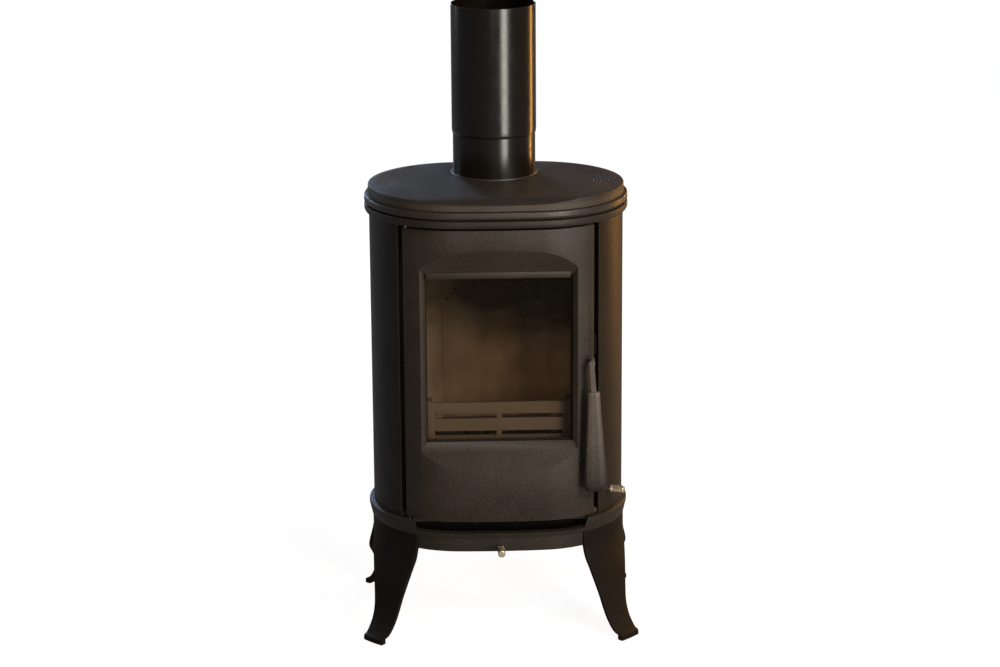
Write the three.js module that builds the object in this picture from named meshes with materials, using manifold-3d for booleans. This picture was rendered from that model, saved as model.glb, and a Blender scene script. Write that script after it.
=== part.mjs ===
// Oval cast-iron wood stove on four splayed legs, with its flue pipe.
// Millimetres, +Z up, +X to the right of someone who faces the door, -Y towards that person.
import * as THREE from 'three';
import { mergeVertices } from 'three/addons/utils/BufferGeometryUtils.js';
import Module from 'manifold-3d';

const wasm = await Module();
wasm.setup();

// ---- Driving dimensions -------------------------------------------------------------------

const gap = 0.3; // between two pieces that touch

// Plan of the body: an oval of two end arcs and two shallow arcs.
const halfLength = 223.5;
const halfDepth = 160;
const endRadius = 158;
const endSteps = 20; // facets of one end arc
const flatSteps = 2; // facets of one shallow arc

// Levels above the floor.
const railBottom = 168.5;
const legTop = 195;
const railTop = 204;
const ledgeTop = 221;
const hearthTop = 338;
const brickTop = 640;
const bodyTop = 753.5;
const crownTop = bodyTop + 14;
const castingTop = crownTop + 15.5;
const lidTop = castingTop + 18;

// Base ring and legs.
const ledgeOverhang = 8.5;
const ledgeDepth = 24;
const railHalfWidth = 145;
const notchHalfWidth = 151;
const railWall = 8;
const legWall = 8;
const legBoltRadius = 4.5;
const legBoltInset = 15;
const toeRadius = 230;

// Sheets and castings of the body.
const bottomPlateThickness = 8;
const panelThickness = 3;
const rearPanelAngle = 62;
const shellInset = 22;
const shellWall = 4;
const frameFrontY = -110.5;
const frameThickness = 4;
const frameOpeningBottom = 249;
const frameOpeningTop = bodyTop - 25.5;
const hearthThickness = 8;
const brickThickness = 22;
const brickHoleRadius = 3;
const airHoleRows = [[582, -105.5, 7], [562.5, -89, 6]]; // level, first hole and count of each row
const airHolePitch = 33;
const baffleThickness = 22;
const baffleFrontY = -62;

// Ash pan, grate and log guard.
const panHalfWidth = 120;
const panHeight = 62;
const panFrontY = -98;
const panRearY = 84;
const panWall = 2;
const grateHalfWidth = 80;
const grateHalfDepth = 58;
const grateSeat = 5; // depth of its rebate in the hearth plate
const grateBearing = 7;
const grateEdge = 12;
const grateSlots = 7;
const gratePitch = 19;
const grateSlotWidth = 10;
const guardPostWidth = 7.5;
const guardThickness = 7;
const guardTop = 424;
const guardFrontY = -97;

// Door, and what lines up with its edges.
const doorHalfWidth = 165.5;
const panelFrontX = doorHalfWidth + 9;
const frameHalfWidth = doorHalfWidth - 15.5;
const doorBottom = ledgeTop + 2.5;
const doorTop = bodyTop - 3.5;
const doorSkin = 7;
const doorRearY = -117;
const doorRim = 28.5;
const frameOpeningHalfWidth = doorHalfWidth - doorRim;
const seatY = -132; // front plane of the glass seat
const seatThickness = 5;
const windowHalfWidth = doorHalfWidth - 37.5;
const guardHalfWidth = windowHalfWidth - 9;
const windowBottom = 363.5;
const windowTop = 663;
const windowTopSlope = 1.836; // rise per millimetre towards the front
const windowBottomSlope = 1.707;
const glassOverlap = 6.5;
const glassThickness = 4;
const glassTape = 1.4;
const ropeWidth = 8;
const ropeCentreX = doorHalfWidth - 24.2;

// Hinge pins, inside the left edge of the door.
const hingeX = -doorHalfWidth + 5.5;
const hingeY = -121.5;
const hingePinRadius = 2.5;
const hingePinClearance = 0.4;
const hingePinReach = 24; // into the door
const hingePinSeat = 9; // into the frame above and the ring below

// Handle and latch.
const handleX = doorHalfWidth - 5.5;
const handleZ = 510;
const handleStandoff = 28.375555; // of its axis plane, in front of the door's face
const spindleRadius = 4;
const spindleClearance = 0.4;
const eyeRadius = 6.5;
const eyeThickness = 8;
const gripTop = 458;
const gripBottom = 276;
const shankHalfWidth = 4.2;
const shankLean = 0.03; // sideways run per millimetre downwards
const fingerThickness = 4;
const fingerHalfWidth = 2.8;
const fingerHeight = 14.4; // of the nose above the spindle
const noseHeight = 5;
const noseReach = 6.2;
const keeperX = doorHalfWidth + 1.2;
const keeperThickness = 2.7;
const fingerFrontY = doorRearY + gap;
const keeperZ = handleZ + fingerHeight + 5; // foot of the keeper's arm

// Air controls.
const airRootAngle = -40; // where the side control leaves the body, in degrees from +X
const airAngle = -20; // its direction
const airZ = 263.5;
const airRodRadius = 3;
const airDiscRadius = 12;
const airDiscDepth = 57.5; // behind the body's surface
const knobRadius = 6.5;
const knobLength = 25;
const rodShow = 11;
const frontRodZ = 176;
const frontRodRadius = 3.5;
const airBoxHalfWidth = 151.5;
const airBoxFloor = railBottom + 2;
const airBoxWall = 1.5;
const airBoxFrontY = -101.5;
const airBoxRearY = 22;

// Flue.
const pipeRadius = 75;
const pipeWall = 1.5;
const pipeBottom = lidTop + 73;
const pipeTop = pipeBottom + 230;
const neckRadius = pipeRadius - pipeWall - gap;
const neckTop = pipeBottom + 31;
const flueBore = neckRadius - 7.2; // through the collar and the top casting
const collarRadius = neckRadius + 4.6;
const collarTop = lidTop + 2;
const flueY = halfDepth - collarRadius - 4.7;
const outletZ = 640;
const outletBoltX = 76;
const roundSides = 48;

// ---- Materials ----------------------------------------------------------------------------

function finish(color, roughness, metalness) {
  return { color, roughness, metalness };
}

const castIron = finish(0x2b2725, 0.62, 0.5);
const paintedSteel = finish(0x25211f, 0.5, 0.4);
const plainSteel = finish(0x6d6a66, 0.45, 0.8);
const nickel = finish(0xb9b2a6, 0.22, 1);
const firebrick = finish(0x8b7355, 0.9, 0);
const rope = finish(0x3a3733, 0.95, 0);
const ceramicGlass = finish(0x6a4b30, 0.08, 0);

// ---- Solids -------------------------------------------------------------------------------

function toSolid(geometry) {
  const bare = geometry.clone();
  for (const name of Object.keys(bare.attributes)) {
    if (name !== 'position') {
      bare.deleteAttribute(name);
    }
  }
  const merged = mergeVertices(bare, 1e-4);
  return new wasm.Manifold(new wasm.Mesh({
    numProp: 3,
    vertProperties: new Float32Array(merged.attributes.position.array),
    triVerts: new Uint32Array(merged.index.array),
  }));
}

function toGeometry(solid) {
  const mesh = solid.getMesh();
  const geometry = new THREE.BufferGeometry();
  geometry.setAttribute('position', new THREE.BufferAttribute(mesh.vertProperties, 3));
  geometry.setIndex(new THREE.BufferAttribute(mesh.triVerts, 1));
  return geometry;
}

// Closed outline in the XY plane, raised from z0 to z1.
function prism(points, z0, z1) {
  const geometry = new THREE.ExtrudeGeometry(new THREE.Shape(points), {
    depth: z1 - z0,
    bevelEnabled: false,
  });
  geometry.translate(0, 0, z0);
  return toSolid(geometry);
}

// Closed outline in the XZ plane, with its thickness from y0 to y1.
function upright(points, y0, y1) {
  const geometry = new THREE.ExtrudeGeometry(new THREE.Shape(points), {
    depth: y1 - y0,
    bevelEnabled: false,
  });
  geometry.rotateX(Math.PI / 2);
  geometry.translate(0, y1, 0);
  return toSolid(geometry);
}

function box(x0, x1, y0, y1, z0, z1) {
  const geometry = new THREE.BoxGeometry(x1 - x0, y1 - y0, z1 - z0);
  geometry.translate((x0 + x1) / 2, (y0 + y1) / 2, (z0 + z1) / 2);
  return toSolid(geometry);
}

// Round bar from one point to another.
function bar(from, to, radius, sides = 16) {
  const start = new THREE.Vector3(...from);
  const along = new THREE.Vector3(...to).sub(start);
  const geometry = new THREE.CylinderGeometry(radius, radius, along.length(), sides);
  geometry.translate(0, along.length() / 2, 0);
  const turn = new THREE.Quaternion();
  turn.setFromUnitVectors(new THREE.Vector3(0, 1, 0), along.clone().normalize());
  geometry.applyQuaternion(turn);
  geometry.translate(start.x, start.y, start.z);
  return toSolid(geometry);
}

// Solid of revolution about the upright line through (0, y); the profile holds [radius, z] pairs.
function turned(profile, y, sides = roundSides) {
  const points = [...profile, profile[0]].map(([radius, z]) => new THREE.Vector2(radius, z));
  const geometry = new THREE.LatheGeometry(points, sides);
  geometry.rotateX(Math.PI / 2);
  geometry.translate(0, y, 0);
  return toSolid(geometry);
}

// Solid of revolution about a line that leaves start in the given direction.
function turnedAlong(profile, start, direction, sides = 16) {
  const points = profile.map(([radius, along]) => new THREE.Vector2(radius, along));
  const geometry = new THREE.LatheGeometry(points, sides);
  const turn = new THREE.Quaternion();
  turn.setFromUnitVectors(new THREE.Vector3(0, 1, 0), direction.clone().normalize());
  geometry.applyQuaternion(turn);
  geometry.translate(start.x, start.y, start.z);
  return toSolid(geometry);
}

// Closed body whose sections are loops of the same number of points, capped at both ends.
function loft(sections) {
  const count = sections[0].length;
  const positions = sections.flat(2);
  const index = [];
  for (let s = 0; s + 1 < sections.length; s += 1) {
    for (let i = 0; i < count; i += 1) {
      const a = s * count + i;
      const b = s * count + (i + 1) % count;
      index.push(a, b, b + count, a, b + count, a + count);
    }
  }
  const last = (sections.length - 1) * count;
  for (let i = 0; i + 1 < count / 2; i += 1) {
    const j = count - 1 - i;
    index.push(i, j - 1, i + 1, i, j, j - 1);
    index.push(last + i, last + i + 1, last + j - 1, last + i, last + j - 1, last + j);
  }
  const geometry = new THREE.BufferGeometry();
  geometry.setAttribute('position', new THREE.Float32BufferAttribute(positions, 3));
  geometry.setIndex(index);
  return toSolid(geometry);
}

// ---- The oval -----------------------------------------------------------------------------

const endCentre = halfLength - endRadius;
const flatRadius = (endCentre ** 2 + halfDepth ** 2 - endRadius ** 2) / (2 * (halfDepth - endRadius));
const flatCentre = flatRadius - halfDepth;
const endSpread = Math.atan2(flatCentre, endCentre);

// Point of the oval, grown by offset, where its outward normal has this angle from +X.
function ovalPoint(angle, offset) {
  const c = Math.cos(angle);
  const s = Math.sin(angle);
  const bearing = Math.atan2(Math.abs(s), Math.abs(c));
  if (bearing <= endSpread) {
    return new THREE.Vector2(Math.sign(c) * endCentre + (endRadius + offset) * c, (endRadius + offset) * s);
  }
  return new THREE.Vector2((flatRadius + offset) * c, (flatRadius + offset) * s - Math.sign(s) * flatCentre);
}

// Normal angles from first to last, with the facets of the whole oval between them.
function ovalAngles(first, last) {
  const steps = [];
  for (let i = 0; i < endSteps; i += 1) {
    steps.push(-endSpread + (2 * endSpread * i) / endSteps);
  }
  for (let i = 0; i < flatSteps; i += 1) {
    steps.push(endSpread + ((Math.PI - 2 * endSpread) * i) / flatSteps);
  }
  const all = [-2, -1, 0, 1, 2].flatMap((turn) => steps.map((angle) => angle + turn * Math.PI));
  const margin = 0.01;
  return [first, ...all.filter((angle) => angle > first + margin && angle < last - margin), last];
}

// Normal angles of the whole oval, each once.
function ringAngles() {
  return ovalAngles(-endSpread, 2 * Math.PI - endSpread).slice(0, -1);
}

function ovalOutline(offset) {
  return ringAngles().map((angle) => ovalPoint(angle, offset));
}

function ovalPlate(offset, z0, z1) {
  return prism(ovalOutline(offset), z0, z1);
}

// Wall that follows the oval between two normal angles, from one offset in to another.
function ovalWall(first, last, outer, inner, z0, z1) {
  const angles = ovalAngles(first, last);
  const outside = angles.map((angle) => ovalPoint(angle, outer));
  const inside = angles.map((angle) => ovalPoint(angle, inner)).reverse();
  return prism([...outside, ...inside], z0, z1);
}

// Closed ring with a profile of [offset, z] pairs, listed outside first from bottom to top.
function ovalRing(profile) {
  const angles = ringAngles();
  const positions = [];
  const index = [];
  const count = profile.length;
  angles.forEach((angle, i) => {
    const next = (i + 1) % angles.length;
    profile.forEach(([offset, z], j) => {
      const point = ovalPoint(angle, offset);
      const up = (j + 1) % count;
      positions.push(point.x, point.y, z);
      index.push(i * count + j, next * count + j, next * count + up);
      index.push(i * count + j, next * count + up, i * count + up);
    });
  });
  const geometry = new THREE.BufferGeometry();
  geometry.setAttribute('position', new THREE.Float32BufferAttribute(positions, 3));
  geometry.setIndex(index);
  return toSolid(geometry);
}

// Normal angle of the front of the oval at x, for x on an end arc.
function frontAngle(x, offset = 0) {
  const reach = Math.acos((Math.abs(x) - endCentre) / (endRadius + offset));
  return x > 0 ? -reach : -Math.PI + reach;
}

function frontFaceY(x) {
  return ovalPoint(frontAngle(x), 0).y;
}

const handleY = frontFaceY(handleX) - handleStandoff;
const degrees = Math.PI / 180;

function ordered(a, b) {
  return [Math.min(a, b), Math.max(a, b)];
}

function rect(x0, x1, z0, z1) {
  return [[x0, z0], [x1, z0], [x1, z1], [x0, z1]].map(([x, z]) => new THREE.Vector2(x, z));
}

// ---- Assembly -----------------------------------------------------------------------------

const stove = new THREE.Group();

function add(name, solid, look) {
  const mesh = new THREE.Mesh(toGeometry(solid), new THREE.MeshStandardMaterial(look));
  mesh.name = name;
  stove.add(mesh);
}

// ---- Base and legs ------------------------------------------------------------------------

const sideAngles = { right: (angle) => angle, left: (angle) => Math.PI - angle };
const boltAngle = 32 * degrees;

function legBoltPoint(side, end) {
  const angle = sideAngles[side](end === 'front' ? -boltAngle : boltAngle);
  return ovalPoint(angle, -legBoltInset);
}

function baseRing() {
  let ring = ovalRing([
    [4, legTop], [ledgeOverhang, ledgeTop - 7], [ledgeOverhang, ledgeTop - 1], [ledgeOverhang - 1, ledgeTop],
    [-ledgeDepth, ledgeTop], [-ledgeDepth, ledgeTop - 7], [-railWall, ledgeTop - 7], [-railWall, legTop],
  ]);
  const frontEnd = frontAngle(railHalfWidth);
  const frontStart = frontAngle(-railHalfWidth);
  const rails = [[frontStart, frontEnd], [-frontEnd, -frontStart]];
  for (const [first, last] of rails) {
    ring = ring.add(ovalWall(first, last, 1, -railWall, railBottom, legTop + 1));
  }
  const notch = [
    [-notchHalfWidth + 3, railTop], [notchHalfWidth - 3, railTop],
    [notchHalfWidth + 4, ledgeTop + 1], [-notchHalfWidth - 4, ledgeTop + 1],
  ].map(([x, z]) => new THREE.Vector2(x, z));
  ring = ring.subtract(upright(notch, -halfDepth - 20, -halfDepth + ledgeDepth + 12));
  for (const side of ['left', 'right']) {
    for (const end of ['front', 'rear']) {
      const { x, y } = legBoltPoint(side, end);
      ring = ring.add(bar([x, y, legTop], [x, y, ledgeTop - 1], 10));
      ring = ring.subtract(bar([x, y, legTop - 1], [x, y, ledgeTop - 10], legBoltRadius + gap, 12));
    }
  }
  const rodHole = bar([0, -halfDepth - 5, frontRodZ], [0, -halfDepth + 20, frontRodZ], frontRodRadius + 1);
  ring = ring.subtract(rodHole);
  return ring.subtract(pinHole('lower'));
}

// Levels of a leg with the radius of its outer face about the end arc's centre, and the angles of
// its inner edge and of its side edge in degrees from +X.
const legStations = [
  [0, toeRadius, 50, 38.3],
  [9, toeRadius - 1, 50, 38.2],
  [12, 221, 50.2, 37.6],
  [20, 212, 50.6, 36.6],
  [32, 203, 51.1, 35.6],
  [50, 194, 51.6, 33.8],
  [76, 186, 52.8, 30.4],
  [102, 179.5, 54.8, 26.2],
  [126, 172.5, 56.7, 20.7],
  [150, 165.5, 58.6, 13.2],
  [172, 161.5, 59.2, 7.5],
  [legTop - gap, 161, 59.4, 4],
];
const legFacets = 7;

function leg(side, end) {
  const mirrorX = side === 'right' ? 1 : -1;
  const mirrorY = end === 'front' ? -1 : 1;
  // The rear legs stay wide lower down on the side that faces outwards.
  const swell = (z) => (end === 'front' ? 0 : 9.5 * Math.exp(-(((z - 118) / 34) ** 2)));
  const sections = legStations.map(([z, radius, inner, outer]) => {
    const wall = z < 30 ? legWall + 4 * (1 - z / 30) : legWall;
    const first = (outer - swell(z)) * degrees;
    const step = (inner * degrees - first) / legFacets;
    const loop = [];
    for (let i = 0; i <= legFacets; i += 1) {
      loop.push([radius, first + i * step]);
    }
    for (let i = legFacets; i >= 0; i -= 1) {
      loop.push([radius - wall, first + i * step]);
    }
    const points = loop.map(([r, angle]) => [
      mirrorX * (endCentre + r * Math.cos(angle)),
      mirrorY * r * Math.sin(angle),
      z,
    ]);
    return mirrorX * mirrorY > 0 ? points : points.reverse();
  });
  const shell = loft(sections);
  const angle = sideAngles[side](mirrorY * boltAngle);
  const spread = 9 * degrees;
  const bolt = legBoltPoint(side, end);
  const lug = ovalWall(angle - spread, angle + spread, -2, -legBoltInset - 11, legTop - 9, legTop - gap);
  const hole = bar([bolt.x, bolt.y, legTop - 20], [bolt.x, bolt.y, legTop + 10], legBoltRadius + gap, 12);
  return shell.add(lug).subtract(hole);
}

function legBolt(side, end) {
  const { x, y } = legBoltPoint(side, end);
  const head = bar([x, y, legTop - 15.5], [x, y, legTop - 9 - gap], 8, 6);
  return head.add(bar([x, y, legTop - 10], [x, y, ledgeTop - 10 - gap], legBoltRadius, 12));
}

add('base_ring', baseRing(), castIron);
for (const end of ['front', 'rear']) {
  for (const side of ['left', 'right']) {
    add(`leg_${end}_${side}`, leg(side, end), castIron);
    add(`leg_bolt_${end}_${side}`, legBolt(side, end), plainSteel);
  }
}

// ---- Body ---------------------------------------------------------------------------------

const bottomTop = ledgeTop + gap + bottomPlateThickness;
const innerFront = frameFrontY + frameThickness + gap;
const behindFrame = (z0, z1) => box(-300, 300, innerFront, 300, z0, z1);
const shellInner = -shellInset - shellWall;

function bottomPlate() {
  const plate = ovalPlate(-panelThickness - gap, ledgeTop + gap, bottomTop);
  const front = box(-300, 300, -300, frameFrontY, 0, 400);
  const airHole = box(-30, 30, -70, -20, 0, 400);
  return plate.subtract(front).subtract(airHole);
}

function sidePanel(side) {
  const front = frontAngle(panelFrontX);
  const rear = rearPanelAngle * degrees;
  const first = side === 'right' ? front : Math.PI - rear;
  const last = side === 'right' ? rear : Math.PI - front;
  const panel = ovalWall(first, last, 0, -panelThickness, ledgeTop + gap, bodyTop - gap);
  if (side === 'left') {
    return panel;
  }
  return panel.subtract(airBar(-20, 20, airRodRadius + 0.4));
}

function rearPanel() {
  const first = (rearPanelAngle + 0.3) * degrees;
  const panel = ovalWall(first, Math.PI - first, 0, -panelThickness, ledgeTop + gap, bodyTop - gap);
  const outlet = bar([0, 100, outletZ], [0, 200, outletZ], 70, roundSides);
  let cut = panel.subtract(outlet);
  for (const z of [255, 275, 295]) {
    cut = cut.subtract(box(-90, 90, 100, 200, z, z + 8));
  }
  for (const x of [-outletBoltX, outletBoltX]) {
    cut = cut.subtract(bar([x, 100, outletZ], [x, 200, outletZ], 3 + gap, 12));
  }
  return cut;
}

function outletCover() {
  const faceY = halfDepth + gap;
  let cover = turnedAlong(
    [[0, -gap - 1.6], [66, -gap - 1.6], [66, 0], [86, 0], [86, 4], [83, 6], [60, 6], [57, 9], [0, 9]],
    new THREE.Vector3(0, faceY, outletZ),
    new THREE.Vector3(0, 1, 0),
    roundSides,
  );
  for (const x of [-outletBoltX, outletBoltX]) {
    cover = cover.subtract(bar([x, 100, outletZ], [x, 200, outletZ], 3 + gap, 12));
  }
  return cover;
}

function outletBolt(x) {
  const seat = halfDepth + 6 + 2 * gap;
  return bar([x, seat, outletZ], [x, seat + 4, outletZ], 6, 6)
    .add(bar([x, seat - 18, outletZ], [x, seat + 1, outletZ], 3, 12));
}

function fireboxShell() {
  const reach = Math.asin(-innerFront / (endRadius - shellInset - shellWall));
  const wall = ovalWall(-reach, Math.PI + reach, -shellInset, shellInner, bottomTop + gap, bodyTop - gap);
  return wall.intersect(behindFrame(0, 900)).subtract(airBar(-60, 0, 8));
}

function frontFrame() {
  const outer = rect(-frameHalfWidth, frameHalfWidth, bottomTop + gap, bodyTop - gap);
  const opening = rect(-frameOpeningHalfWidth, frameOpeningHalfWidth, frameOpeningBottom, frameOpeningTop);
  const tab = rect(frameHalfWidth - 5, keeperX - gap, keeperZ, keeperZ + 22);
  const rearY = frameFrontY + frameThickness;
  return upright(outer, frameFrontY, rearY)
    .add(upright(tab, frameFrontY, rearY))
    .subtract(upright(opening, frameFrontY - 1, rearY + 1));
}

// Hook for the latch finger: a foot behind the frame's tab, an arm, and a lip that hangs from it.
function keeper() {
  const rearY = frameFrontY + frameThickness + gap;
  const outerX = keeperX + keeperThickness;
  const lipRearY = fingerFrontY - 2 * gap;
  const lipFrontY = lipRearY - keeperThickness;
  const foot = box(keeperX - 10, outerX, rearY, rearY + 3, keeperZ, keeperZ + 22);
  const arm = box(keeperX, outerX, lipFrontY, rearY + 1, keeperZ, keeperZ + 22);
  const lip = box(keeperX, outerX, lipFrontY, lipRearY, keeperZ - 13, keeperZ + 5);
  return foot.add(arm).add(lip);
}

function topFrame() {
  const ring = ovalRing([
    [1.5, bodyTop], [6, bodyTop + 1], [7.6, bodyTop + 4], [8.2, bodyTop + 7], [8.2, crownTop],
    [shellInner - 4, crownTop], [shellInner - 4, bodyTop],
  ]);
  return ring.subtract(pinHole('upper'));
}

function flueHole(radius) {
  return bar([0, flueY, bodyTop - 50], [0, flueY, lidTop + 100], radius, roundSides);
}

function topCasting() {
  const lower = crownTop + gap;
  const ring = ovalRing([
    [2.5, lower], [6.8, lower + 3.5], [8.2, lower + 6.5], [8.2, castingTop - 1.5], [7, castingTop],
    [-8, castingTop], [-8, lower],
  ]);
  const plate = ovalPlate(-7, castingTop - 8, castingTop);
  return ring.add(plate).subtract(flueHole(flueBore));
}

function lid() {
  const lower = castingTop + gap;
  const rim = 1.4;
  const body = ovalPlate(rim, lower, lidTop - 1).add(ovalPlate(rim - 1, lower, lidTop));
  const hollow = ovalPlate(-9, lower - 1, lower + 9).subtract(flueHole(collarRadius + 8));
  const hole = flueHole(collarRadius + 1);
  const slope = new THREE.ExtrudeGeometry(new THREE.Shape([
    new THREE.Vector2(-136, lidTop + 0.01), new THREE.Vector2(-144, lidTop - 0.9),
    new THREE.Vector2(-153, lidTop - 3.4), new THREE.Vector2(-164, lidTop - 9),
    new THREE.Vector2(-180, lidTop - 17), new THREE.Vector2(-180, lidTop + 5),
    new THREE.Vector2(-136, lidTop + 5),
  ]), { depth: 600, bevelEnabled: false });
  slope.rotateX(Math.PI / 2);
  slope.rotateZ(Math.PI / 2);
  slope.translate(-300, 0, 0);
  return body.subtract(hollow).subtract(hole).subtract(toSolid(slope));
}

function flueCollar() {
  const lower = castingTop + gap;
  const bore = neckRadius + gap;
  return turned([
    [flueBore, lower], [collarRadius, lower], [collarRadius, collarTop - 1], [collarRadius - 1, collarTop],
    [bore, collarTop], [bore, lower + 6], [flueBore, lower + 6],
  ], flueY);
}

function pipe(outer, inner, z0, z1) {
  return turned([[inner, z0], [outer, z0], [outer, z1], [inner, z1]], flueY);
}

function fluePipe() {
  const inner = pipeRadius - pipeWall;
  return turned([
    [inner, pipeBottom], [pipeRadius + 0.6, pipeBottom], [pipeRadius + 0.6, pipeBottom + 3],
    [pipeRadius, pipeBottom + 5], [pipeRadius, pipeTop], [inner, pipeTop],
  ], flueY);
}

// ---- Side air control ---------------------------------------------------------------------

const airDirection = new THREE.Vector3(Math.cos(airAngle * degrees), Math.sin(airAngle * degrees), 0);

// Point on the side control's line, counted outwards from the body's surface.
function airPoint(along) {
  const foot = ovalPoint(airRootAngle * degrees, 0);
  return new THREE.Vector3(foot.x, foot.y, airZ).addScaledVector(airDirection, along);
}

function airBar(from, to, radius, sides = 16) {
  return bar(airPoint(from).toArray(), airPoint(to).toArray(), radius, sides);
}

const knobProfile = [
  [0, 0], [knobRadius - 0.8, 0], [knobRadius, 0.8], [knobRadius, knobLength - 1.2],
  [knobRadius - 1.2, knobLength], [0, knobLength],
];

// ---- Pins ---------------------------------------------------------------------------------

function pinHole(end) {
  const radius = hingePinRadius + gap;
  const [z0, z1] = end === 'upper'
    ? [bodyTop - 1, bodyTop + hingePinSeat]
    : [ledgeTop - hingePinSeat, ledgeTop + 1];
  return bar([hingeX, hingeY, z0], [hingeX, hingeY, z1], radius);
}

function hingePin(end) {
  const [z0, z1] = end === 'upper'
    ? [doorTop - hingePinReach, bodyTop + hingePinSeat - gap]
    : [ledgeTop - hingePinSeat + gap, doorBottom + hingePinReach];
  return bar([hingeX, hingeY, z0], [hingeX, hingeY, z1], hingePinRadius);
}

add('bottom_plate', bottomPlate(), castIron);
add('side_panel_left', sidePanel('left'), paintedSteel);
add('side_panel_right', sidePanel('right'), paintedSteel);
add('rear_panel', rearPanel(), paintedSteel);
add('rear_outlet_cover', outletCover(), castIron);
add('rear_cover_bolt_left', outletBolt(-outletBoltX), plainSteel);
add('rear_cover_bolt_right', outletBolt(outletBoltX), plainSteel);
add('firebox_shell', fireboxShell(), paintedSteel);
add('front_frame', frontFrame(), castIron);
add('latch_keeper', keeper(), plainSteel);
add('top_frame', topFrame(), castIron);
add('top_casting', topCasting(), castIron);
add('lid', lid(), castIron);
add('flue_collar', flueCollar(), castIron);
add('neck_pipe', pipe(neckRadius, neckRadius - 2, castingTop + gap + 6 + gap, neckTop), paintedSteel);
add('flue_pipe', fluePipe(), paintedSteel);
add('hinge_pin_upper', hingePin('upper'), plainSteel);
add('hinge_pin_lower', hingePin('lower'), plainSteel);

// ---- Firebox ------------------------------------------------------------------------------

// Corners of the lining's inner face, from the front of one side round the back to the other.
const liningCorners = [[150, -75], [150, 40], [96, 94], [-96, 94], [-150, 40], [-150, -75]]
  .map(([x, y]) => new THREE.Vector2(x, y));
const liningOuter = [[172, -75], [172, 49], [105, 116], [-105, 116], [-172, 49], [-172, -75]]
  .map(([x, y]) => new THREE.Vector2(x, y));
const brickNames = ['brick_right', 'brick_corner_right', 'brick_back', 'brick_corner_left', 'brick_left'];
const brickBottom = hearthTop + gap;

function brick(i) {
  const quad = [liningCorners[i], liningOuter[i], liningOuter[i + 1], liningCorners[i + 1]];
  const middle = quad.reduce((sum, point) => sum.clone().add(point)).multiplyScalar(0.25);
  // Each brick stops short of its neighbours by half a gap at both ends.
  const run = liningCorners[i + 1].clone().sub(liningCorners[i]).normalize();
  const trimmed = quad.map((point) => {
    const side = Math.sign(point.clone().sub(middle).dot(run));
    return point.clone().addScaledVector(run, -side * gap * 0.6);
  });
  let solid = prism(trimmed, brickBottom, brickTop);
  if (brickNames[i] === 'brick_back') {
    for (const [z, x0, count] of airHoleRows) {
      for (let k = 0; k < count; k += 1) {
        const x = x0 + k * airHolePitch;
        if (Math.abs(x) < 92) {
          solid = solid.subtract(bar([x, 80, z], [x, 130, z], brickHoleRadius, 8));
        }
      }
    }
  }
  return solid;
}

function hearthPlate() {
  const plate = ovalPlate(shellInner - gap, hearthTop - hearthThickness, hearthTop)
    .intersect(behindFrame(0, 900));
  const rebateX = grateHalfWidth + gap;
  const rebateY = grateHalfDepth + gap;
  const rebate = box(-rebateX, rebateX, -rebateY, rebateY, hearthTop - grateSeat, hearthTop + 1);
  const throughX = grateHalfWidth - grateBearing;
  const throughY = grateHalfDepth - grateBearing;
  const through = box(-throughX, throughX, -throughY, throughY, 0, 900);
  return plate.subtract(rebate).subtract(through);
}

function grate() {
  const lower = hearthTop - grateSeat + gap;
  let solid = box(-grateHalfWidth, grateHalfWidth, -grateHalfDepth, grateHalfDepth, lower, hearthTop + 3);
  const slotHalf = grateHalfDepth - grateEdge;
  for (let i = 0; i < grateSlots; i += 1) {
    const x = (i - (grateSlots - 1) / 2) * gratePitch;
    solid = solid.subtract(box(x - grateSlotWidth / 2, x + grateSlotWidth / 2, -slotHalf, slotHalf, 0, 900));
  }
  return solid;
}

function baffle() {
  const outline = liningOuter.map(({ x, y }) => new THREE.Vector2(x * 0.985, y > 0 ? y - 1 : baffleFrontY));
  return prism(outline, brickTop + gap, brickTop + gap + baffleThickness);
}

// Bars across the foot of the door opening, which keep the logs off the glass.
function logGuard() {
  const lower = hearthTop + gap;
  const upper = guardTop;
  const y0 = guardFrontY;
  const outline = rect(-guardHalfWidth, guardHalfWidth, lower, upper);
  let solid = upright(outline, y0, y0 + guardThickness);
  const slots = [[363, 371.5], [394.5, 402.5]];
  for (const [z0, z1] of slots) {
    for (const side of [-1, 1]) {
      const x0 = side < 0 ? -guardHalfWidth + 6 : 4.7;
      const x1 = side < 0 ? -4.7 : guardHalfWidth - 6;
      solid = solid.subtract(box(x0, x1, y0 - 5, y0 + 20, z0, z1));
    }
  }
  const foot = box(-guardHalfWidth, guardHalfWidth, y0, y0 + 22, lower, lower + 4);
  for (const side of [-1, 1]) {
    const [x0, x1] = ordered(side * (guardHalfWidth - 1), side * (guardHalfWidth + guardPostWidth));
    solid = solid.add(box(x0, x1, y0 - 1.5, y0 + 22, lower, upper + 4));
  }
  return solid.add(foot);
}

function ashPan() {
  const lower = bottomTop + gap;
  const y0 = panFrontY;
  const y1 = panRearY;
  const outer = box(-panHalfWidth, panHalfWidth, y0, y1, lower, lower + panHeight);
  const inner = box(-panHalfWidth + panWall, panHalfWidth - panWall, y0 + panWall, y1 - panWall,
    lower + panWall, lower + panHeight + 1);
  const handle = box(-30, 30, y0 - 8, y0 + 1, lower + 34, lower + 37)
    .add(box(-30, 30, y0 - 8, y0 - 5.5, lower + 28, lower + 37));
  return outer.subtract(inner).add(handle);
}

for (let i = 0; i < brickNames.length; i += 1) {
  add(brickNames[i], brick(i), firebrick);
}
add('hearth_plate', hearthPlate(), castIron);
add('grate', grate(), castIron);
add('baffle', baffle(), firebrick);
add('log_guard', logGuard(), castIron);
add('ash_pan', ashPan(), paintedSteel);

// ---- Door ---------------------------------------------------------------------------------

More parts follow.
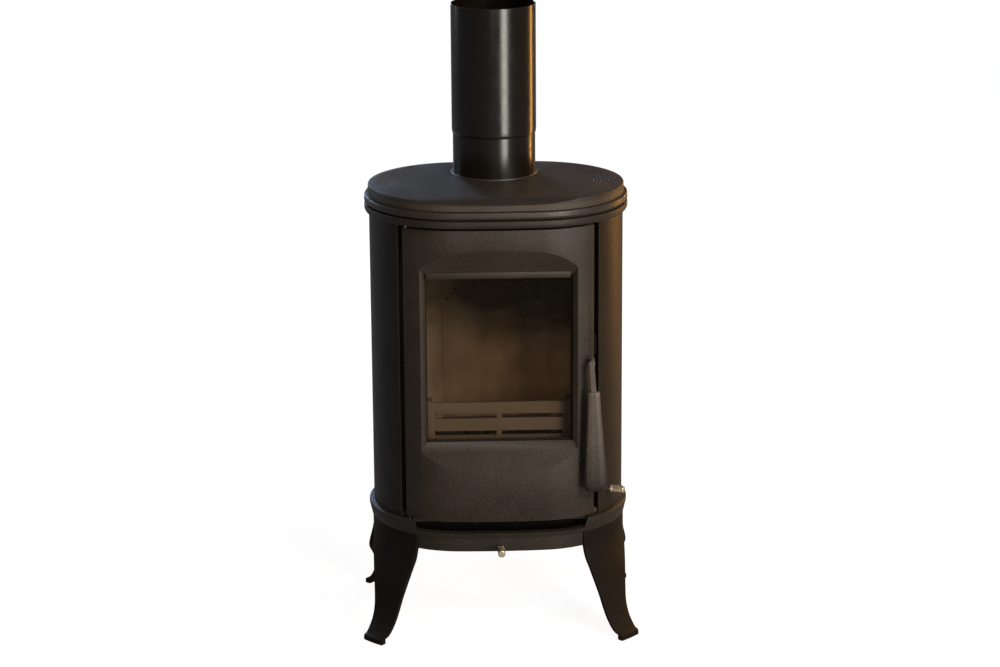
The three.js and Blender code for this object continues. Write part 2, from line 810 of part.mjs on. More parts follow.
// Space of the window: it widens towards the front in four flat slopes.
function windowSpace() {
  const depth = 40;
  const loops = [0, depth].map((d) => {
    const x = windowHalfWidth + d;
    const z0 = windowBottom - windowBottomSlope * d;
    const z1 = windowTop + windowTopSlope * d;
    const y = seatY - d;
    return [[-x, y, z0], [x, y, z0], [x, y, z1], [-x, y, z1]];
  });
  return loft(loops.map((loop) => loop.slice()));
}

function doorCasting() {
  const first = frontAngle(-doorHalfWidth);
  const last = frontAngle(doorHalfWidth);
  const face = ovalAngles(first, last).map((angle) => ovalPoint(angle, 0));
  const back = [new THREE.Vector2(doorHalfWidth, doorRearY), new THREE.Vector2(-doorHalfWidth, doorRearY)];
  let door = prism([...face, ...back], doorBottom, doorTop);
  const pocketHalf = doorHalfWidth - doorRim;
  const pocket = box(-pocketHalf, pocketHalf, seatY + seatThickness, -90, windowBottom - 32, windowTop + 30);
  const lowerWall = ovalAngles(frontAngle(-pocketHalf), frontAngle(pocketHalf));
  const hollowFace = lowerWall.map((angle) => ovalPoint(angle, -doorSkin));
  const hollow = prism(
    [...hollowFace, new THREE.Vector2(pocketHalf, -90), new THREE.Vector2(-pocketHalf, -90)],
    doorBottom + doorRim,
    windowBottom - 66,
  );
  door = door.subtract(pocket).subtract(hollow).subtract(windowSpace());
  door = door.subtract(box(-windowHalfWidth, windowHalfWidth, seatY - 1, -90, windowBottom, windowTop));
  // Bar at the foot of the upper slope, above the glass.
  door = door.add(box(
    -windowHalfWidth + 2, windowHalfWidth - 4, seatY - 6.5, seatY + 1, windowTop - 3, windowTop + 8,
  ));
  const pinRadius = hingePinRadius + hingePinClearance;
  const pinDepth = hingePinReach + 1;
  for (const [z0, z1] of [[doorBottom - 1, doorBottom + pinDepth], [doorTop - pinDepth, doorTop + 1]]) {
    door = door.subtract(bar([hingeX, hingeY, z0], [hingeX, hingeY, z1], pinRadius));
  }
  const spindleHole = spindleRadius + spindleClearance;
  door = door.subtract(bar([handleX, -200, handleZ], [handleX, -90, handleZ], spindleHole));
  for (const [x, z] of clipScrews) {
    door = door.subtract(bar([x, seatY + 1.2, z], [x, -90, z], 2 + gap, 12));
  }
  return door;
}

const clipX = windowHalfWidth - 40;
const clipScrews = [windowTop + 17, windowBottom - 17].flatMap((z) => [[-clipX, z], [clipX, z]]);
const clipNames = ['upper_left', 'upper_right', 'lower_left', 'lower_right'];
const seatRear = seatY + seatThickness;
const glassFront = seatRear + glassTape + 2 * gap;
const glassRear = glassFront + glassThickness;

function doorGlass() {
  const x = windowHalfWidth + glassOverlap;
  return upright(rect(-x, x, windowBottom - glassOverlap, windowTop + glassOverlap), glassFront, glassRear);
}

function frameOf(x, z0, z1, width, y0, y1) {
  const hole = rect(-x + width, x - width, z0 + width, z1 - width);
  return upright(rect(-x, x, z0, z1), y0, y1).subtract(upright(hole, y0 - 1, y1 + 1));
}

function glassTapeRing() {
  const x = windowHalfWidth + glassOverlap;
  return frameOf(x, windowBottom - glassOverlap, windowTop + glassOverlap, glassOverlap - 1,
    seatRear + gap, seatRear + gap + glassTape);
}

function doorRope() {
  const half = ropeWidth / 2;
  const y0 = doorRearY + gap;
  return frameOf(ropeCentreX + half, doorBottom + 11, doorTop - 9, ropeWidth, y0, frameFrontY - gap);
}

// Small step-shaped clamp that holds the edge of the glass.
function glassClip(x, z) {
  const inward = z > handleZ ? -1 : 1;
  const edge = z > handleZ ? windowTop + glassOverlap : windowBottom - glassOverlap;
  const foot = ordered(edge - inward * 2, z - inward * 6);
  const lip = ordered(edge + inward * 5, z - inward * 6);
  const lipY = glassRear + gap;
  const solid = box(x - 9, x + 9, seatRear + gap, lipY + 2.2, ...foot)
    .add(box(x - 9, x + 9, lipY, lipY + 2.2, ...lip));
  return solid.subtract(bar([x, -200, z], [x, -90, z], 2 + gap, 12));
}

function clipScrew(x, z) {
  const seat = glassRear + 2.2 + 2 * gap;
  return bar([x, seatY + 1.5, z], [x, seat + 1, z], 2, 12).add(bar([x, seat, z], [x, seat + 2.4, z], 4, 12));
}

add('door_casting', doorCasting(), castIron);
add('door_glass', doorGlass(), ceramicGlass);
add('glass_tape', glassTapeRing(), rope);
add('door_rope', doorRope(), rope);
clipScrews.forEach(([x, z], i) => {
  add(`glass_clip_${clipNames[i]}`, glassClip(x, z), plainSteel);
  add(`clip_screw_${clipNames[i]}`, clipScrew(x, z), plainSteel);
});

// ---- Handle -------------------------------------------------------------------------------

// Pin of the handle: it ends inside the eye.
function spindle() {
  const rear = fingerFrontY + fingerThickness + 5;
  const collarY = frontFaceY(handleX) - 6;
  return bar([handleX, handleY, handleZ], [handleX, rear, handleZ], spindleRadius)
    .add(bar([handleX, collarY - 2.5, handleZ], [handleX, collarY, handleZ], 6.5));
}

// Domed eye over the spindle with the shank that hangs from it.
function handleLever() {
  const y0 = handleY - eyeThickness / 2;
  const y1 = handleY + eyeThickness / 2;
  const dome = [
    [0, 0], [eyeRadius, 0], [eyeRadius, eyeThickness - 2], [eyeRadius - 2.5, eyeThickness],
    [0, eyeThickness],
  ];
  const eye = turnedAlong(
    dome,
    new THREE.Vector3(handleX, y1, handleZ),
    new THREE.Vector3(0, -1, 0),
    20,
  );
  const shank = upright(shankOutline(0, gripTop - 14, handleZ - 1), y0 + 1.5, y1);
  const hole = bar([handleX, handleY - gap, handleZ], [handleX, y1 + 5, handleZ], spindleRadius + 0.1);
  return eye.add(shank).subtract(hole);
}

// Outline of the shank between two levels, grown sideways by a margin.
function shankOutline(margin, z0, z1) {
  const half = shankHalfWidth + margin;
  const middle = (z) => handleX + shankLean * (handleZ - z);
  return [
    [middle(z0) - half, z0], [middle(z0) + half, z0], [middle(z1) + half, z1], [middle(z1) - half, z1],
  ].map(([x, z]) => new THREE.Vector2(x, z));
}

// Levels of the grip with its middle's run to the right of the spindle, its half width and half depth.
const gripStations = [
  [gripTop, 3.7, 9.6, 6], [gripTop - 2, 3.7, 10.4, 7], [430, 4.3, 11.6, 7.4],
  [390, 5.2, 13.8, 8], [350, 6.2, 16.4, 8.6], [318, 7, 18.6, 9], [300, 7.3, 19.4, 9],
  [286, 7.5, 19.3, 8.8], [280, 7.6, 17.8, 7.8], [gripBottom, 7.6, 14, 5.4],
];

// Flared grip with bevelled long edges and a rounded foot.
function handleGrip() {
  const sections = gripStations.map(([z, run, half, depth]) => [
    [-half, -depth * 0.5], [-half * 0.8, -depth], [half * 0.8, -depth], [half, -depth * 0.5],
    [half, depth * 0.4], [half * 0.6, depth * 0.8], [-half * 0.6, depth * 0.8], [-half, depth * 0.4],
  ].map(([dx, dy]) => [handleX + run + dx, handleY + dy, z]).reverse());
  const y0 = handleY - eyeThickness / 2 + 1.5 - gap;
  const y1 = handleY + eyeThickness / 2 + gap;
  const socket = upright(shankOutline(gap, gripTop - 14 - gap, gripTop + 5), y0, y1);
  return loft(sections).subtract(socket);
}

// Finger that rises behind the door's edge, with a nose that points at the keeper.
function latchFinger() {
  const y1 = fingerFrontY + fingerThickness;
  const half = fingerHalfWidth;
  const noseBottom = fingerHeight - noseHeight;
  const finger = upright([
    [-half, 0], [half, 0], [half, noseBottom], [noseReach, noseBottom],
    [noseReach, fingerHeight], [-half, fingerHeight],
  ].map(([x, z]) => new THREE.Vector2(handleX + x, handleZ + z)), fingerFrontY, y1);
  const hub = bar([handleX, fingerFrontY, handleZ], [handleX, y1, handleZ], 6, 20);
  const hole = bar([handleX, -200, handleZ], [handleX, -90, handleZ], spindleRadius + 0.1);
  return hub.add(finger).subtract(hole);
}

function latchNut() {
  const y0 = fingerFrontY + fingerThickness + gap;
  return bar([handleX, y0, handleZ], [handleX, y0 + 4, handleZ], 6, 6)
    .subtract(bar([handleX, -200, handleZ], [handleX, -90, handleZ], spindleRadius + 0.1));
}

add('handle_spindle', spindle(), plainSteel);
add('handle_lever', handleLever(), castIron);
add('handle_grip', handleGrip(), castIron);
add('latch_finger', latchFinger(), plainSteel);
add('latch_nut', latchNut(), plainSteel);

// ---- Air controls -------------------------------------------------------------------------

function sideAirRod() {
  return airBar(-airDiscDepth, rodShow + 8, airRodRadius)
    .add(airBar(-airDiscDepth, -airDiscDepth + 2.5, airDiscRadius, 24))
    .add(airBar(rodShow - 2 - gap, rodShow - gap, 5));
}

function knob(start, direction) {
  const solid = turnedAlong(knobProfile, start, direction, 20);
  const hole = bar(
    start.clone().addScaledVector(direction, -5).toArray(),
    start.clone().addScaledVector(direction, 9).toArray(),
    airRodRadius + 0.1,
  );
  return solid.subtract(hole);
}

function frontAirSlide() {
  const knobStart = -halfDepth - 11;
  const rod = bar([0, knobStart + gap, frontRodZ], [0, -20, frontRodZ], frontRodRadius)
    .add(bar([0, knobStart - 8, frontRodZ], [0, knobStart + 3, frontRodZ], airRodRadius))
    .add(bar([0, knobStart + gap, frontRodZ], [0, knobStart + 2.5, frontRodZ], 5.4));
  const plate = box(-44, 44, -42, 8, airBoxFloor + gap, frontRodZ - 2);
  return rod.add(plate);
}

// Tray under the bottom plate: it shields the floor from heat and leads the air to the hearth.
function airBox() {
  const x = airBoxHalfWidth;
  const y0 = airBoxFrontY;
  const y1 = airBoxRearY;
  const wall = airBoxWall;
  const outer = box(-x, x, y0, y1, airBoxFloor - wall, ledgeTop);
  const inner = box(-x + wall, x - wall, y0 + wall, y1 - wall, airBoxFloor, ledgeTop + 5);
  const inlet = box(-35, 35, -34, 0, 100, 175);
  const rodHole = bar([0, y0 - 10, frontRodZ], [0, y0 + 10, frontRodZ], frontRodRadius + 0.5);
  return outer.subtract(inner).subtract(inlet).subtract(rodHole);
}

add('side_air_rod', sideAirRod(), plainSteel);
add('side_air_knob', knob(airPoint(rodShow), airDirection), nickel);
add('air_box', airBox(), paintedSteel);
add('front_air_slide', frontAirSlide(), plainSteel);
add('front_air_knob', knob(
  new THREE.Vector3(0, -halfDepth - 11, frontRodZ),
  new THREE.Vector3(0, -1, 0),
), nickel);

// The origin is on the floor, at the middle of the space that the stove takes up.
const extent = new THREE.Box3().setFromObject(stove);
stove.position.set(-(extent.min.x + extent.max.x) / 2, -(extent.min.y + extent.max.y) / 2, 0);
stove.updateMatrixWorld(true);

export default stove;
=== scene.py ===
import math

import bpy
import bmesh
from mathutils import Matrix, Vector


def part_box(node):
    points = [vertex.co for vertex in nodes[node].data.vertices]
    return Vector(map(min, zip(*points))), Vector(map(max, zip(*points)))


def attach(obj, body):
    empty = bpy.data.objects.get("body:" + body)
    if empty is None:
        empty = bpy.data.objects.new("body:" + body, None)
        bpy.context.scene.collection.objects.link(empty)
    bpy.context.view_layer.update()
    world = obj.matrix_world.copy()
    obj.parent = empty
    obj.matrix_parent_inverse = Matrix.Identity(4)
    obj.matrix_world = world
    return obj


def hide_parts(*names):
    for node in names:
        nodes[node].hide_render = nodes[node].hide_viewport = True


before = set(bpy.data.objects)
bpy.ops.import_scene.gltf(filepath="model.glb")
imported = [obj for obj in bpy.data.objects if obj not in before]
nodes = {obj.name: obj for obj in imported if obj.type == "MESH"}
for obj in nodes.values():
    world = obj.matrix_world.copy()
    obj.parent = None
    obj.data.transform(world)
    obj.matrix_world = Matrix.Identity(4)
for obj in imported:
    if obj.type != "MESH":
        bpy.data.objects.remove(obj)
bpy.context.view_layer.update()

# ---- Measures, in millimetres from the middle of the oval on the floor ----

MM = 0.001
top_low, top_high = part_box("top_frame")
SHIFT_X = (top_low.x + top_high.x) / 2
SHIFT_Y = (top_low.y + top_high.y) / 2

# The oval's ends are arcs of END_RADIUS, and its front and back are arcs of FLAT_RADIUS.
HALF_LENGTH = 223.5
HALF_DEPTH = 160.0
END_RADIUS = 158.0
END_CENTRE = HALF_LENGTH - END_RADIUS
FLAT_RADIUS = (
    (END_CENTRE ** 2 + HALF_DEPTH ** 2 - END_RADIUS ** 2) / (2 * (HALF_DEPTH - END_RADIUS))
)
FLAT_CENTRE = FLAT_RADIUS - HALF_DEPTH
END_SPREAD = math.atan2(FLAT_CENTRE, END_CENTRE)

GAP = 0.3                # clearance between neighbouring castings
RAIL_BOTTOM = 168.5
FRONT_AIR_Z = 176.0
LEG_TOP = 195.0
RAIL_TOP = 204.0
LEDGE_TOP = 221.0
SIDE_AIR_Z = 263.5
BODY_TOP = 753.5
CROWN_TOP = 767.5
CASTING_TOP = 783.0
LID_TOP = 801.0

OVAL_STEP = 4.0              # distance between points along the oval
FINE_STEP = 3.0              # the same where the lid and the door show it
HALF_TURNS = range(-3, 4)    # half turns of the oval that any stretch lies in
END_MARGIN = 0.3             # share of a step kept free beside the ends of a stretch
CREASE_ANGLE = 32            # degrees at which neighbouring faces keep a sharp edge
SOFT_ANGLE = 28              # degrees at which an edge is rounded
MERGE_DISTANCE = 2e-6        # metres below which two points of a mesh are one
WELD_DISTANCE = 2e-5         # the same, for points that a boolean leaves beside each other

UP = (0, 0, 1)
BACKWARDS = (0, 1, 0)
FORWARDS = (0, -1, 0)
SIDEWAYS = (1, 0, 0)


def place(x, y, z):
    """Millimetres in the stove's own measure to metres in the frame."""
    return Vector((x * MM + SHIFT_X, y * MM + SHIFT_Y, z * MM))


# ---- Mesh makers ----

def creased(obj, angle=CREASE_ANGLE):
    """Smooth shading, apart from edges where faces meet at more than angle degrees."""
    mesh = obj.data
    mesh.polygons.foreach_set("use_smooth", [True] * len(mesh.polygons))
    mesh.set_sharp_from_angle(angle=math.radians(angle))
    return obj


def linked(name, mesh):
    """Object of a mesh, in the scene."""
    obj = bpy.data.objects.new(name, mesh)
    bpy.context.scene.collection.objects.link(obj)
    return obj


def make_object(name, verts, faces, sharp):
    """Object from millimetre points, with its doubled points merged and its normals outwards."""
    mesh = bpy.data.meshes.new(name)
    mesh.from_pydata([place(*v) for v in verts], [], faces)
    bm = bmesh.new()
    bm.from_mesh(mesh)
    bmesh.ops.remove_doubles(bm, verts=bm.verts, dist=MERGE_DISTANCE)
    bmesh.ops.recalc_face_normals(bm, faces=bm.faces)
    bm.to_mesh(mesh)
    bm.free()
    return creased(linked(name, mesh), sharp)


def loft(name, sections, closed=False, sharp=CREASE_ANGLE):
    """Skin over loops of equally many points; open ends are capped."""
    count = len(sections[0])
    verts = [point for section in sections for point in section]
    faces = []
    spans = len(sections) if closed else len(sections) - 1
    for s in range(spans):
        t = (s + 1) % len(sections)
        for i in range(count):
            j = (i + 1) % count
            faces.append((s * count + i, s * count + j, t * count + j, t * count + i))
    if not closed:
        last = (len(sections) - 1) * count
        faces.append(tuple(range(count - 1, -1, -1)))
        faces.append(tuple(last + i for i in range(count)))
    return make_object(name, verts, faces, sharp)


NEARLY_STRAIGHT = math.pi - 0.05    # corners this open stay as they are
EDGE_SHARE = 0.49                   # of an edge, the most that one corner's arc takes up


def rounded(corners, radii, steps=5):
    """Closed outline with each corner turned into an arc of its radius."""
    count = len(corners)
    if isinstance(radii, (int, float)):
        radii = [radii] * count
    outline = []
    for i in range(count):
        here = Vector(corners[i])
        to_before = Vector(corners[i - 1]) - here
        to_after = Vector(corners[(i + 1) % count]) - here
        angle = to_before.angle(to_after)
        if radii[i] <= 0 or angle > NEARLY_STRAIGHT:
            outline.append(tuple(here))
            continue
        run = min(radii[i] / math.tan(angle / 2), to_before.length * EDGE_SHARE,
                  to_after.length * EDGE_SHARE)
        radius = run * math.tan(angle / 2)
        bisector = (to_before.normalized() + to_after.normalized()).normalized()
        centre = here + bisector * (radius / math.sin(angle / 2))
        start = here + to_before.normalized() * run - centre
        end = here + to_after.normalized() * run - centre
        turn = start.angle_signed(end)
        for k in range(steps + 1):
            a = -turn * k / steps
            spun = Vector((start.x * math.cos(a) - start.y * math.sin(a),
                           start.x * math.sin(a) + start.y * math.cos(a)))
            outline.append(tuple(centre + spun))
    return outline


def oval_point(angle, offset):
    """Point of the oval grown by offset where its outward normal has this angle from +X."""
    c = math.cos(angle)
    s = math.sin(angle)
    if math.atan2(abs(s), abs(c)) <= END_SPREAD:
        radius = END_RADIUS + offset
        return (math.copysign(END_CENTRE, c) + radius * c, radius * s)
    radius = FLAT_RADIUS + offset
    return (radius * c, radius * s - math.copysign(FLAT_CENTRE, s))


def oval_angles(first, last, step=OVAL_STEP):
    """Normal angles from first to last, with points about step millimetres apart."""
    marks = []
    for half_turn in HALF_TURNS:
        start = half_turn * math.pi
        for low, high, radius in (
            (start - END_SPREAD, start + END_SPREAD, END_RADIUS),
            (start + END_SPREAD, start + math.pi - END_SPREAD, FLAT_RADIUS),
        ):
            count = max(1, round((high - low) * radius / step))
            marks += [low + (high - low) * k / count for k in range(count)]
    margin = END_MARGIN * step / FLAT_RADIUS
    return [first] + [a for a in marks if first + margin < a < last - margin] + [last]


def oval_loop(step=OVAL_STEP):
    """Normal angles once round the oval."""
    return oval_angles(-END_SPREAD, 2 * math.pi - END_SPREAD, step)[:-1]


def front_angle(x):
    """Normal angle of the oval's front at x, for x on an end arc."""
    reach = math.acos((abs(x) - END_CENTRE) / END_RADIUS)
    return -reach if x > 0 else -math.pi + reach


def oval_sweep(name, profile, first=None, last=None, step=OVAL_STEP):
    """Profile of (offset, z) pairs carried round the oval, or along a stretch of it."""
    closed = first is None
    angles = oval_loop(step) if closed else oval_angles(first, last, step)
    sections = [[(*oval_point(a, offset), z) for offset, z in profile] for a in angles]
    return loft(name, sections, closed)


def lathe(name, profile, centre, axis=UP, sides=96):
    """Closed profile of (radius, along) pairs turned about an axis through centre."""
    along = Vector(axis).normalized()
    side = along.orthogonal().normalized()
    other = along.cross(side)
    sections = []
    for k in range(sides):
        a = 2 * math.pi * k / sides
        out = side * math.cos(a) + other * math.sin(a)
        sections.append([tuple(Vector(centre) + out * r + along * h) for r, h in profile])
    return loft(name, sections, True)


def cylinder(name, radius, low, high, centre, axis=UP, sides=96):
    """Round bar from low to high along an axis through centre."""
    profile = [(0, low), (radius, low), (radius, high), (0, high)]
    return lathe(name, profile, centre, axis, sides)


def prism(name, points, z0, z1):
    """Closed outline in plan, raised from z0 to z1."""
    return loft(name, [[(x, y, z) for x, y in points] for z in (z0, z1)])


def oval_prism(name, offset, z0, z1):
    """Solid oval grown by offset, from z0 to z1."""
    return prism(name, [oval_point(a, offset) for a in oval_loop()], z0, z1)


def slab(name, outline, y0, y1):
    """Closed outline of (x, z) pairs seen from the front, from y0 to y1."""
    return loft(name, [[(x, y, z) for x, z in outline] for y in (y0, y1)])


def block(name, x0, x1, y0, y1, z0, z1):
    """Box between two places on each axis."""
    return prism(name, [(x0, y0), (x1, y0), (x1, y1), (x0, y1)], z0, z1)


def shaped(obj, tool, operation):
    """Boolean of two objects, kept on the first; the second is deleted."""
    modifier = obj.modifiers.new("cut", "BOOLEAN")
    modifier.operation = operation
    modifier.solver = "EXACT"
    modifier.object = tool
    graph = bpy.context.evaluated_depsgraph_get()
    mesh = bpy.data.meshes.new_from_object(obj.evaluated_get(graph))
    obj.modifiers.clear()
    obj.data = mesh
    bpy.data.objects.remove(tool)


def cut(obj, *tools):
    """Takes tools away from an object, one after the other."""
    for tool in tools:
        shaped(obj, tool, "DIFFERENCE")


def joined(name, objects):
    """One object from several."""
    bm = bmesh.new()
    for obj in objects:
        bm.from_mesh(obj.data)
        bpy.data.objects.remove(obj)
    mesh = bpy.data.meshes.new(name)
    bm.to_mesh(mesh)
    bm.free()
    return linked(name, mesh)


def soften(obj, width, segments, angle=SOFT_ANGLE):
    """Rounds the edges sharper than angle degrees by width and shades the object smooth."""
    weld = obj.modifiers.new("weld", "WELD")
    weld.merge_threshold = WELD_DISTANCE
    bevel = obj.modifiers.new("round", "BEVEL")
    bevel.width = width * MM
    bevel.segments = segments
    bevel.limit_method = "ANGLE"
    bevel.angle_limit = math.radians(angle)
    bevel.harden_normals = True
    obj.data.polygons.foreach_set("use_smooth", [True] * len(obj.data.polygons))


def smooth_row(table, z):
    """Values of a table of (z, value, ...) rows at a height, with no overshoot between rows."""
    heights = [row[0] for row in table]
    steps = [b - a for a, b in zip(heights, heights[1:])]
    i = min(max(sum(1 for h in heights if h <= z) - 1, 0), len(steps) - 1)
    t = (z - heights[i]) / steps[i]

    def tangent(slopes, j):
        """Harmonic mean of the slopes on both sides of row j, nought at a turning point."""
        if j == 0 or j == len(slopes):
            return slopes[min(j, len(slopes) - 1)]
        before, after = slopes[j - 1], slopes[j]
        return 2 * before * after / (before + after) if before * after > 0 else 0.0

    result = []
    for values in list(zip(*table))[1:]:
        slopes = [(b - a) / step for a, b, step in zip(values, values[1:], steps)]
        start = tangent(slopes, i) * steps[i]
        end = tangent(slopes, i + 1) * steps[i]
        result.append((2 * t ** 3 - 3 * t ** 2 + 1) * values[i] + (t ** 3 - 2 * t ** 2 + t) * start
                      + (3 * t ** 2 - 2 * t ** 3) * values[i + 1] + (t ** 3 - t ** 2) * end)
    return result


# ---- Materials ----

NOISE_RANGE = (0.3, 0.7)    # where nearly all of a noise texture's values lie


def node_tree(name):
    """New material, with its node tree and its shader."""
    material = bpy.data.materials.new(name)
    material.use_nodes = True
    tree = material.node_tree
    return material, tree, tree.nodes["Principled BSDF"]


def coordinates(tree, scale=(1, 1, 1)):
    coords = tree.nodes.new("ShaderNodeTexCoord")
    mapping = tree.nodes.new("ShaderNodeMapping")
    mapping.inputs["Scale"].default_value = scale
    tree.links.new(coords.outputs["Object"], mapping.inputs["Vector"])
    return mapping.outputs["Vector"]


def separated(tree, vector):
    """The X, Y and Z sockets of a vector."""
    node = tree.nodes.new("ShaderNodeSeparateXYZ")
    tree.links.new(vector, node.inputs["Vector"])
    return node.outputs


def noise(tree, vector, scale, detail=4.0, rough=0.55):
    node = tree.nodes.new("ShaderNodeTexNoise")
    node.inputs["Scale"].default_value = scale
    node.inputs["Detail"].default_value = detail
    node.inputs["Roughness"].default_value = rough
    tree.links.new(vector, node.inputs["Vector"])
    return node.outputs["Fac"]


def ramp(tree, value, stops):
    """Colour by a value, through stops of a position and a colour."""
    node = tree.nodes.new("ShaderNodeValToRGB")
    elements = node.color_ramp.elements
    elements[0].position, elements[0].color = stops[0][0], (*stops[0][1], 1)
    elements[1].position, elements[1].color = stops[-1][0], (*stops[-1][1], 1)
    for position, color in stops[1:-1]:
        element = elements.new(position)
        element.color = (*color, 1)
    tree.links.new(value, node.inputs["Fac"])
    return node.outputs["Color"]


def mapped(tree, value, from_low, from_high, low, high, smooth=False):
    """Value carried from one range to another and held at its ends."""
    node = tree.nodes.new("ShaderNodeMapRange")
    if smooth:
        node.interpolation_type = "SMOOTHSTEP"
    for socket, number in (("From Min", from_low), ("From Max", from_high),
                           ("To Min", low), ("To Max", high)):
        node.inputs[socket].default_value = number
    tree.links.new(value, node.inputs["Value"])
    return node.outputs["Result"]


def spread(tree, value, low, high):
    """Noise value carried from its own range to low and high."""
    return mapped(tree, value, *NOISE_RANGE, low, high)


def calculated(tree, operation, first, second):
    """Math on a socket and a second socket or number."""
    node = tree.nodes.new("ShaderNodeMath")
    node.operation = operation
    tree.links.new(first, node.inputs[0])
    if isinstance(second, (int, float)):
        node.inputs[1].default_value = second
    else:
        tree.links.new(second, node.inputs[1])
    return node.outputs["Value"]


def scaled(tree, color, factor):
    """Colour made darker or lighter by the value of a socket."""
    node = tree.nodes.new("ShaderNodeVectorMath")
    node.operation = "SCALE"
    tree.links.new(color, node.inputs[0])
    tree.links.new(factor, node.inputs["Scale"])
    return node.outputs["Vector"]


def tinted(tree, color, tint):
    """Product of two colours."""
    node = tree.nodes.new("ShaderNodeVectorMath")
    node.operation = "MULTIPLY"
    tree.links.new(color, node.inputs[0])
    tree.links.new(tint, node.inputs[1])
    return node.outputs["Vector"]


def bump(tree, shader, layers):
    """Chain of bumps, each a height, its strength and its depth in millimetres."""
    previous = None
    for height, strength, depth in layers:
        node = tree.nodes.new("ShaderNodeBump")
        node.inputs["Strength"].default_value = strength
        node.inputs["Distance"].default_value = depth * MM
        tree.links.new(height, node.inputs["Height"])
        if previous is not None:
            tree.links.new(previous, node.inputs["Normal"])
        previous = node.outputs["Normal"]
    tree.links.new(previous, shader.inputs["Normal"])


# Noise scales per metre and bump depths in millimetres of sand-cast iron
MOTTLE_SCALE, WAVE_SCALE, COARSE_SCALE, FINE_SCALE = 14, 22, 290, 760
MOTTLE_BAND = (0.35, 0.65)
WAVE_DEPTH, COARSE_DEPTH, FINE_DEPTH = 1.2, 0.6, 0.25
WAVE_STRENGTH = 0.12
GRAIN_STRENGTH = 0.5
GRAIN_SHADE = 0.2
GLOSS_SPREAD = 0.08


def painted_iron(name, dark, light, roughness, grain, specular, painted_light=None):
    """Sand-cast iron under stove paint, with a pitted grain and faint mottling.

    Painted light is two heights in metres and the factor that the colour is painted with at each:
    above one a painted highlight, below one painted shade.
    """
    material, tree, shader = node_tree(name)
    vector = coordinates(tree)
    mottle = noise(tree, vector, MOTTLE_SCALE, 3)
    fine = noise(tree, vector, FINE_SCALE, 2, 0.6)
    coarse = noise(tree, vector, COARSE_SCALE, 3)
    wave = noise(tree, vector, WAVE_SCALE, 2)
    color = ramp(tree, mottle, [(MOTTLE_BAND[0], dark), (MOTTLE_BAND[1], light)])
    shade = GRAIN_SHADE * grain
    color = scaled(tree, color, spread(tree, coarse, 1 - shade, 1 + shade))
    # Painted light: the colour made lighter or darker by height
    if painted_light is not None:
        color = scaled(tree, color, mapped(tree, separated(tree, vector)["Z"], *painted_light))
    tree.links.new(color, shader.inputs["Base Color"])
    gloss = spread(tree, coarse, roughness - GLOSS_SPREAD, roughness + GLOSS_SPREAD)
    tree.links.new(gloss, shader.inputs["Roughness"])
    bump(tree, shader, [(wave, WAVE_STRENGTH, WAVE_DEPTH),
                        (coarse, GRAIN_STRENGTH * grain, COARSE_DEPTH),
                        (fine, GRAIN_STRENGTH * grain, FINE_DEPTH)])
    shader.inputs["Specular IOR Level"].default_value = specular
    return material


IRON = painted_iron(
    "cast_iron", (0.0247, 0.0172, 0.0112), (0.0328, 0.0235, 0.0156),
    roughness=0.52, grain=1.5, specular=0.36)
TOP_IRON = painted_iron(
    "top_iron", (0.027, 0.0197, 0.014), (0.035, 0.026, 0.0187),
    roughness=0.42, grain=0.8, specular=0.55)
# Painted highlight: the lid's colour is 1.75 times lighter below 792 mm, on the lower band of its
# edge
LID_IRON = painted_iron(
    "lid_iron", (0.026, 0.019, 0.0136), (0.034, 0.0253, 0.018),
    roughness=0.56, grain=0.9, specular=0.42, painted_light=(0.792, 0.795, 1.75, 1.0))
# Painted shade: a darker copy of the cast iron, for the base ring and the top frame
SHADED_RING_IRON = painted_iron(
    "ring_iron_painted_shade", (0.0185, 0.013, 0.0086), (0.025, 0.0178, 0.012),
    roughness=0.5, grain=1.0, specular=0.36)
# Painted shade: a much darker copy of the cast iron, for the legs
SHADED_LEG_IRON = painted_iron(
    "leg_iron_painted_shade", (0.0105, 0.0075, 0.0052), (0.0145, 0.0105, 0.0073),
    roughness=0.55, grain=0.9, specular=0.08)
# Handle iron: a lighter copy of the cast iron, with painted shade at the foot of the grip and a
# painted highlight on the grip's upper part and the lever
HANDLE_IRON_PAINTED_LIGHT = painted_iron(
    "handle_iron_painted_light", (0.046, 0.036, 0.029), (0.062, 0.050, 0.041),
    roughness=0.36, grain=0.9, specular=0.4, painted_light=(0.28, 0.405, 0.38, 1.75))
PANEL = painted_iron(
    "panel", (0.0165, 0.0114, 0.0073), (0.022, 0.0155, 0.01),
    roughness=0.44, grain=0.6, specular=0.2)


UNEVEN = 0.15               # share by which a plain finish's roughness varies
PLAIN_STRENGTH = 0.3


def plain(name, color, roughness, depth, metallic=0.0, scale=400, specular=0.3):
    """Even finish with slightly uneven gloss and a faint grain of a depth in millimetres."""
    material, tree, shader = node_tree(name)
    grain = noise(tree, coordinates(tree), scale, 3)
    shader.inputs["Base Color"].default_value = (*color, 1)
    shader.inputs["Metallic"].default_value = metallic
    if metallic == 0:
        shader.inputs["Specular IOR Level"].default_value = specular
    gloss = spread(tree, grain, roughness * (1 - UNEVEN), roughness * (1 + UNEVEN))
    tree.links.new(gloss, shader.inputs["Roughness"])
    if depth > 0:
        bump(tree, shader, [(grain, PLAIN_STRENGTH, depth)])
    return material


ENAMEL = plain("pipe_enamel", (0.0068, 0.0048, 0.003), 0.22, depth=0.0, scale=60, specular=0.5)
ASH_IRON = plain("ash_iron", (0.155, 0.122, 0.09), 0.7, depth=0.6, scale=200)
SOOT_IRON = plain("soot_iron", (0.022, 0.016, 0.011), 0.8, depth=0.5, scale=220)
INSIDE_IRON = plain("inside_iron", (0.05, 0.04, 0.032), 0.75, depth=0.4, scale=260)
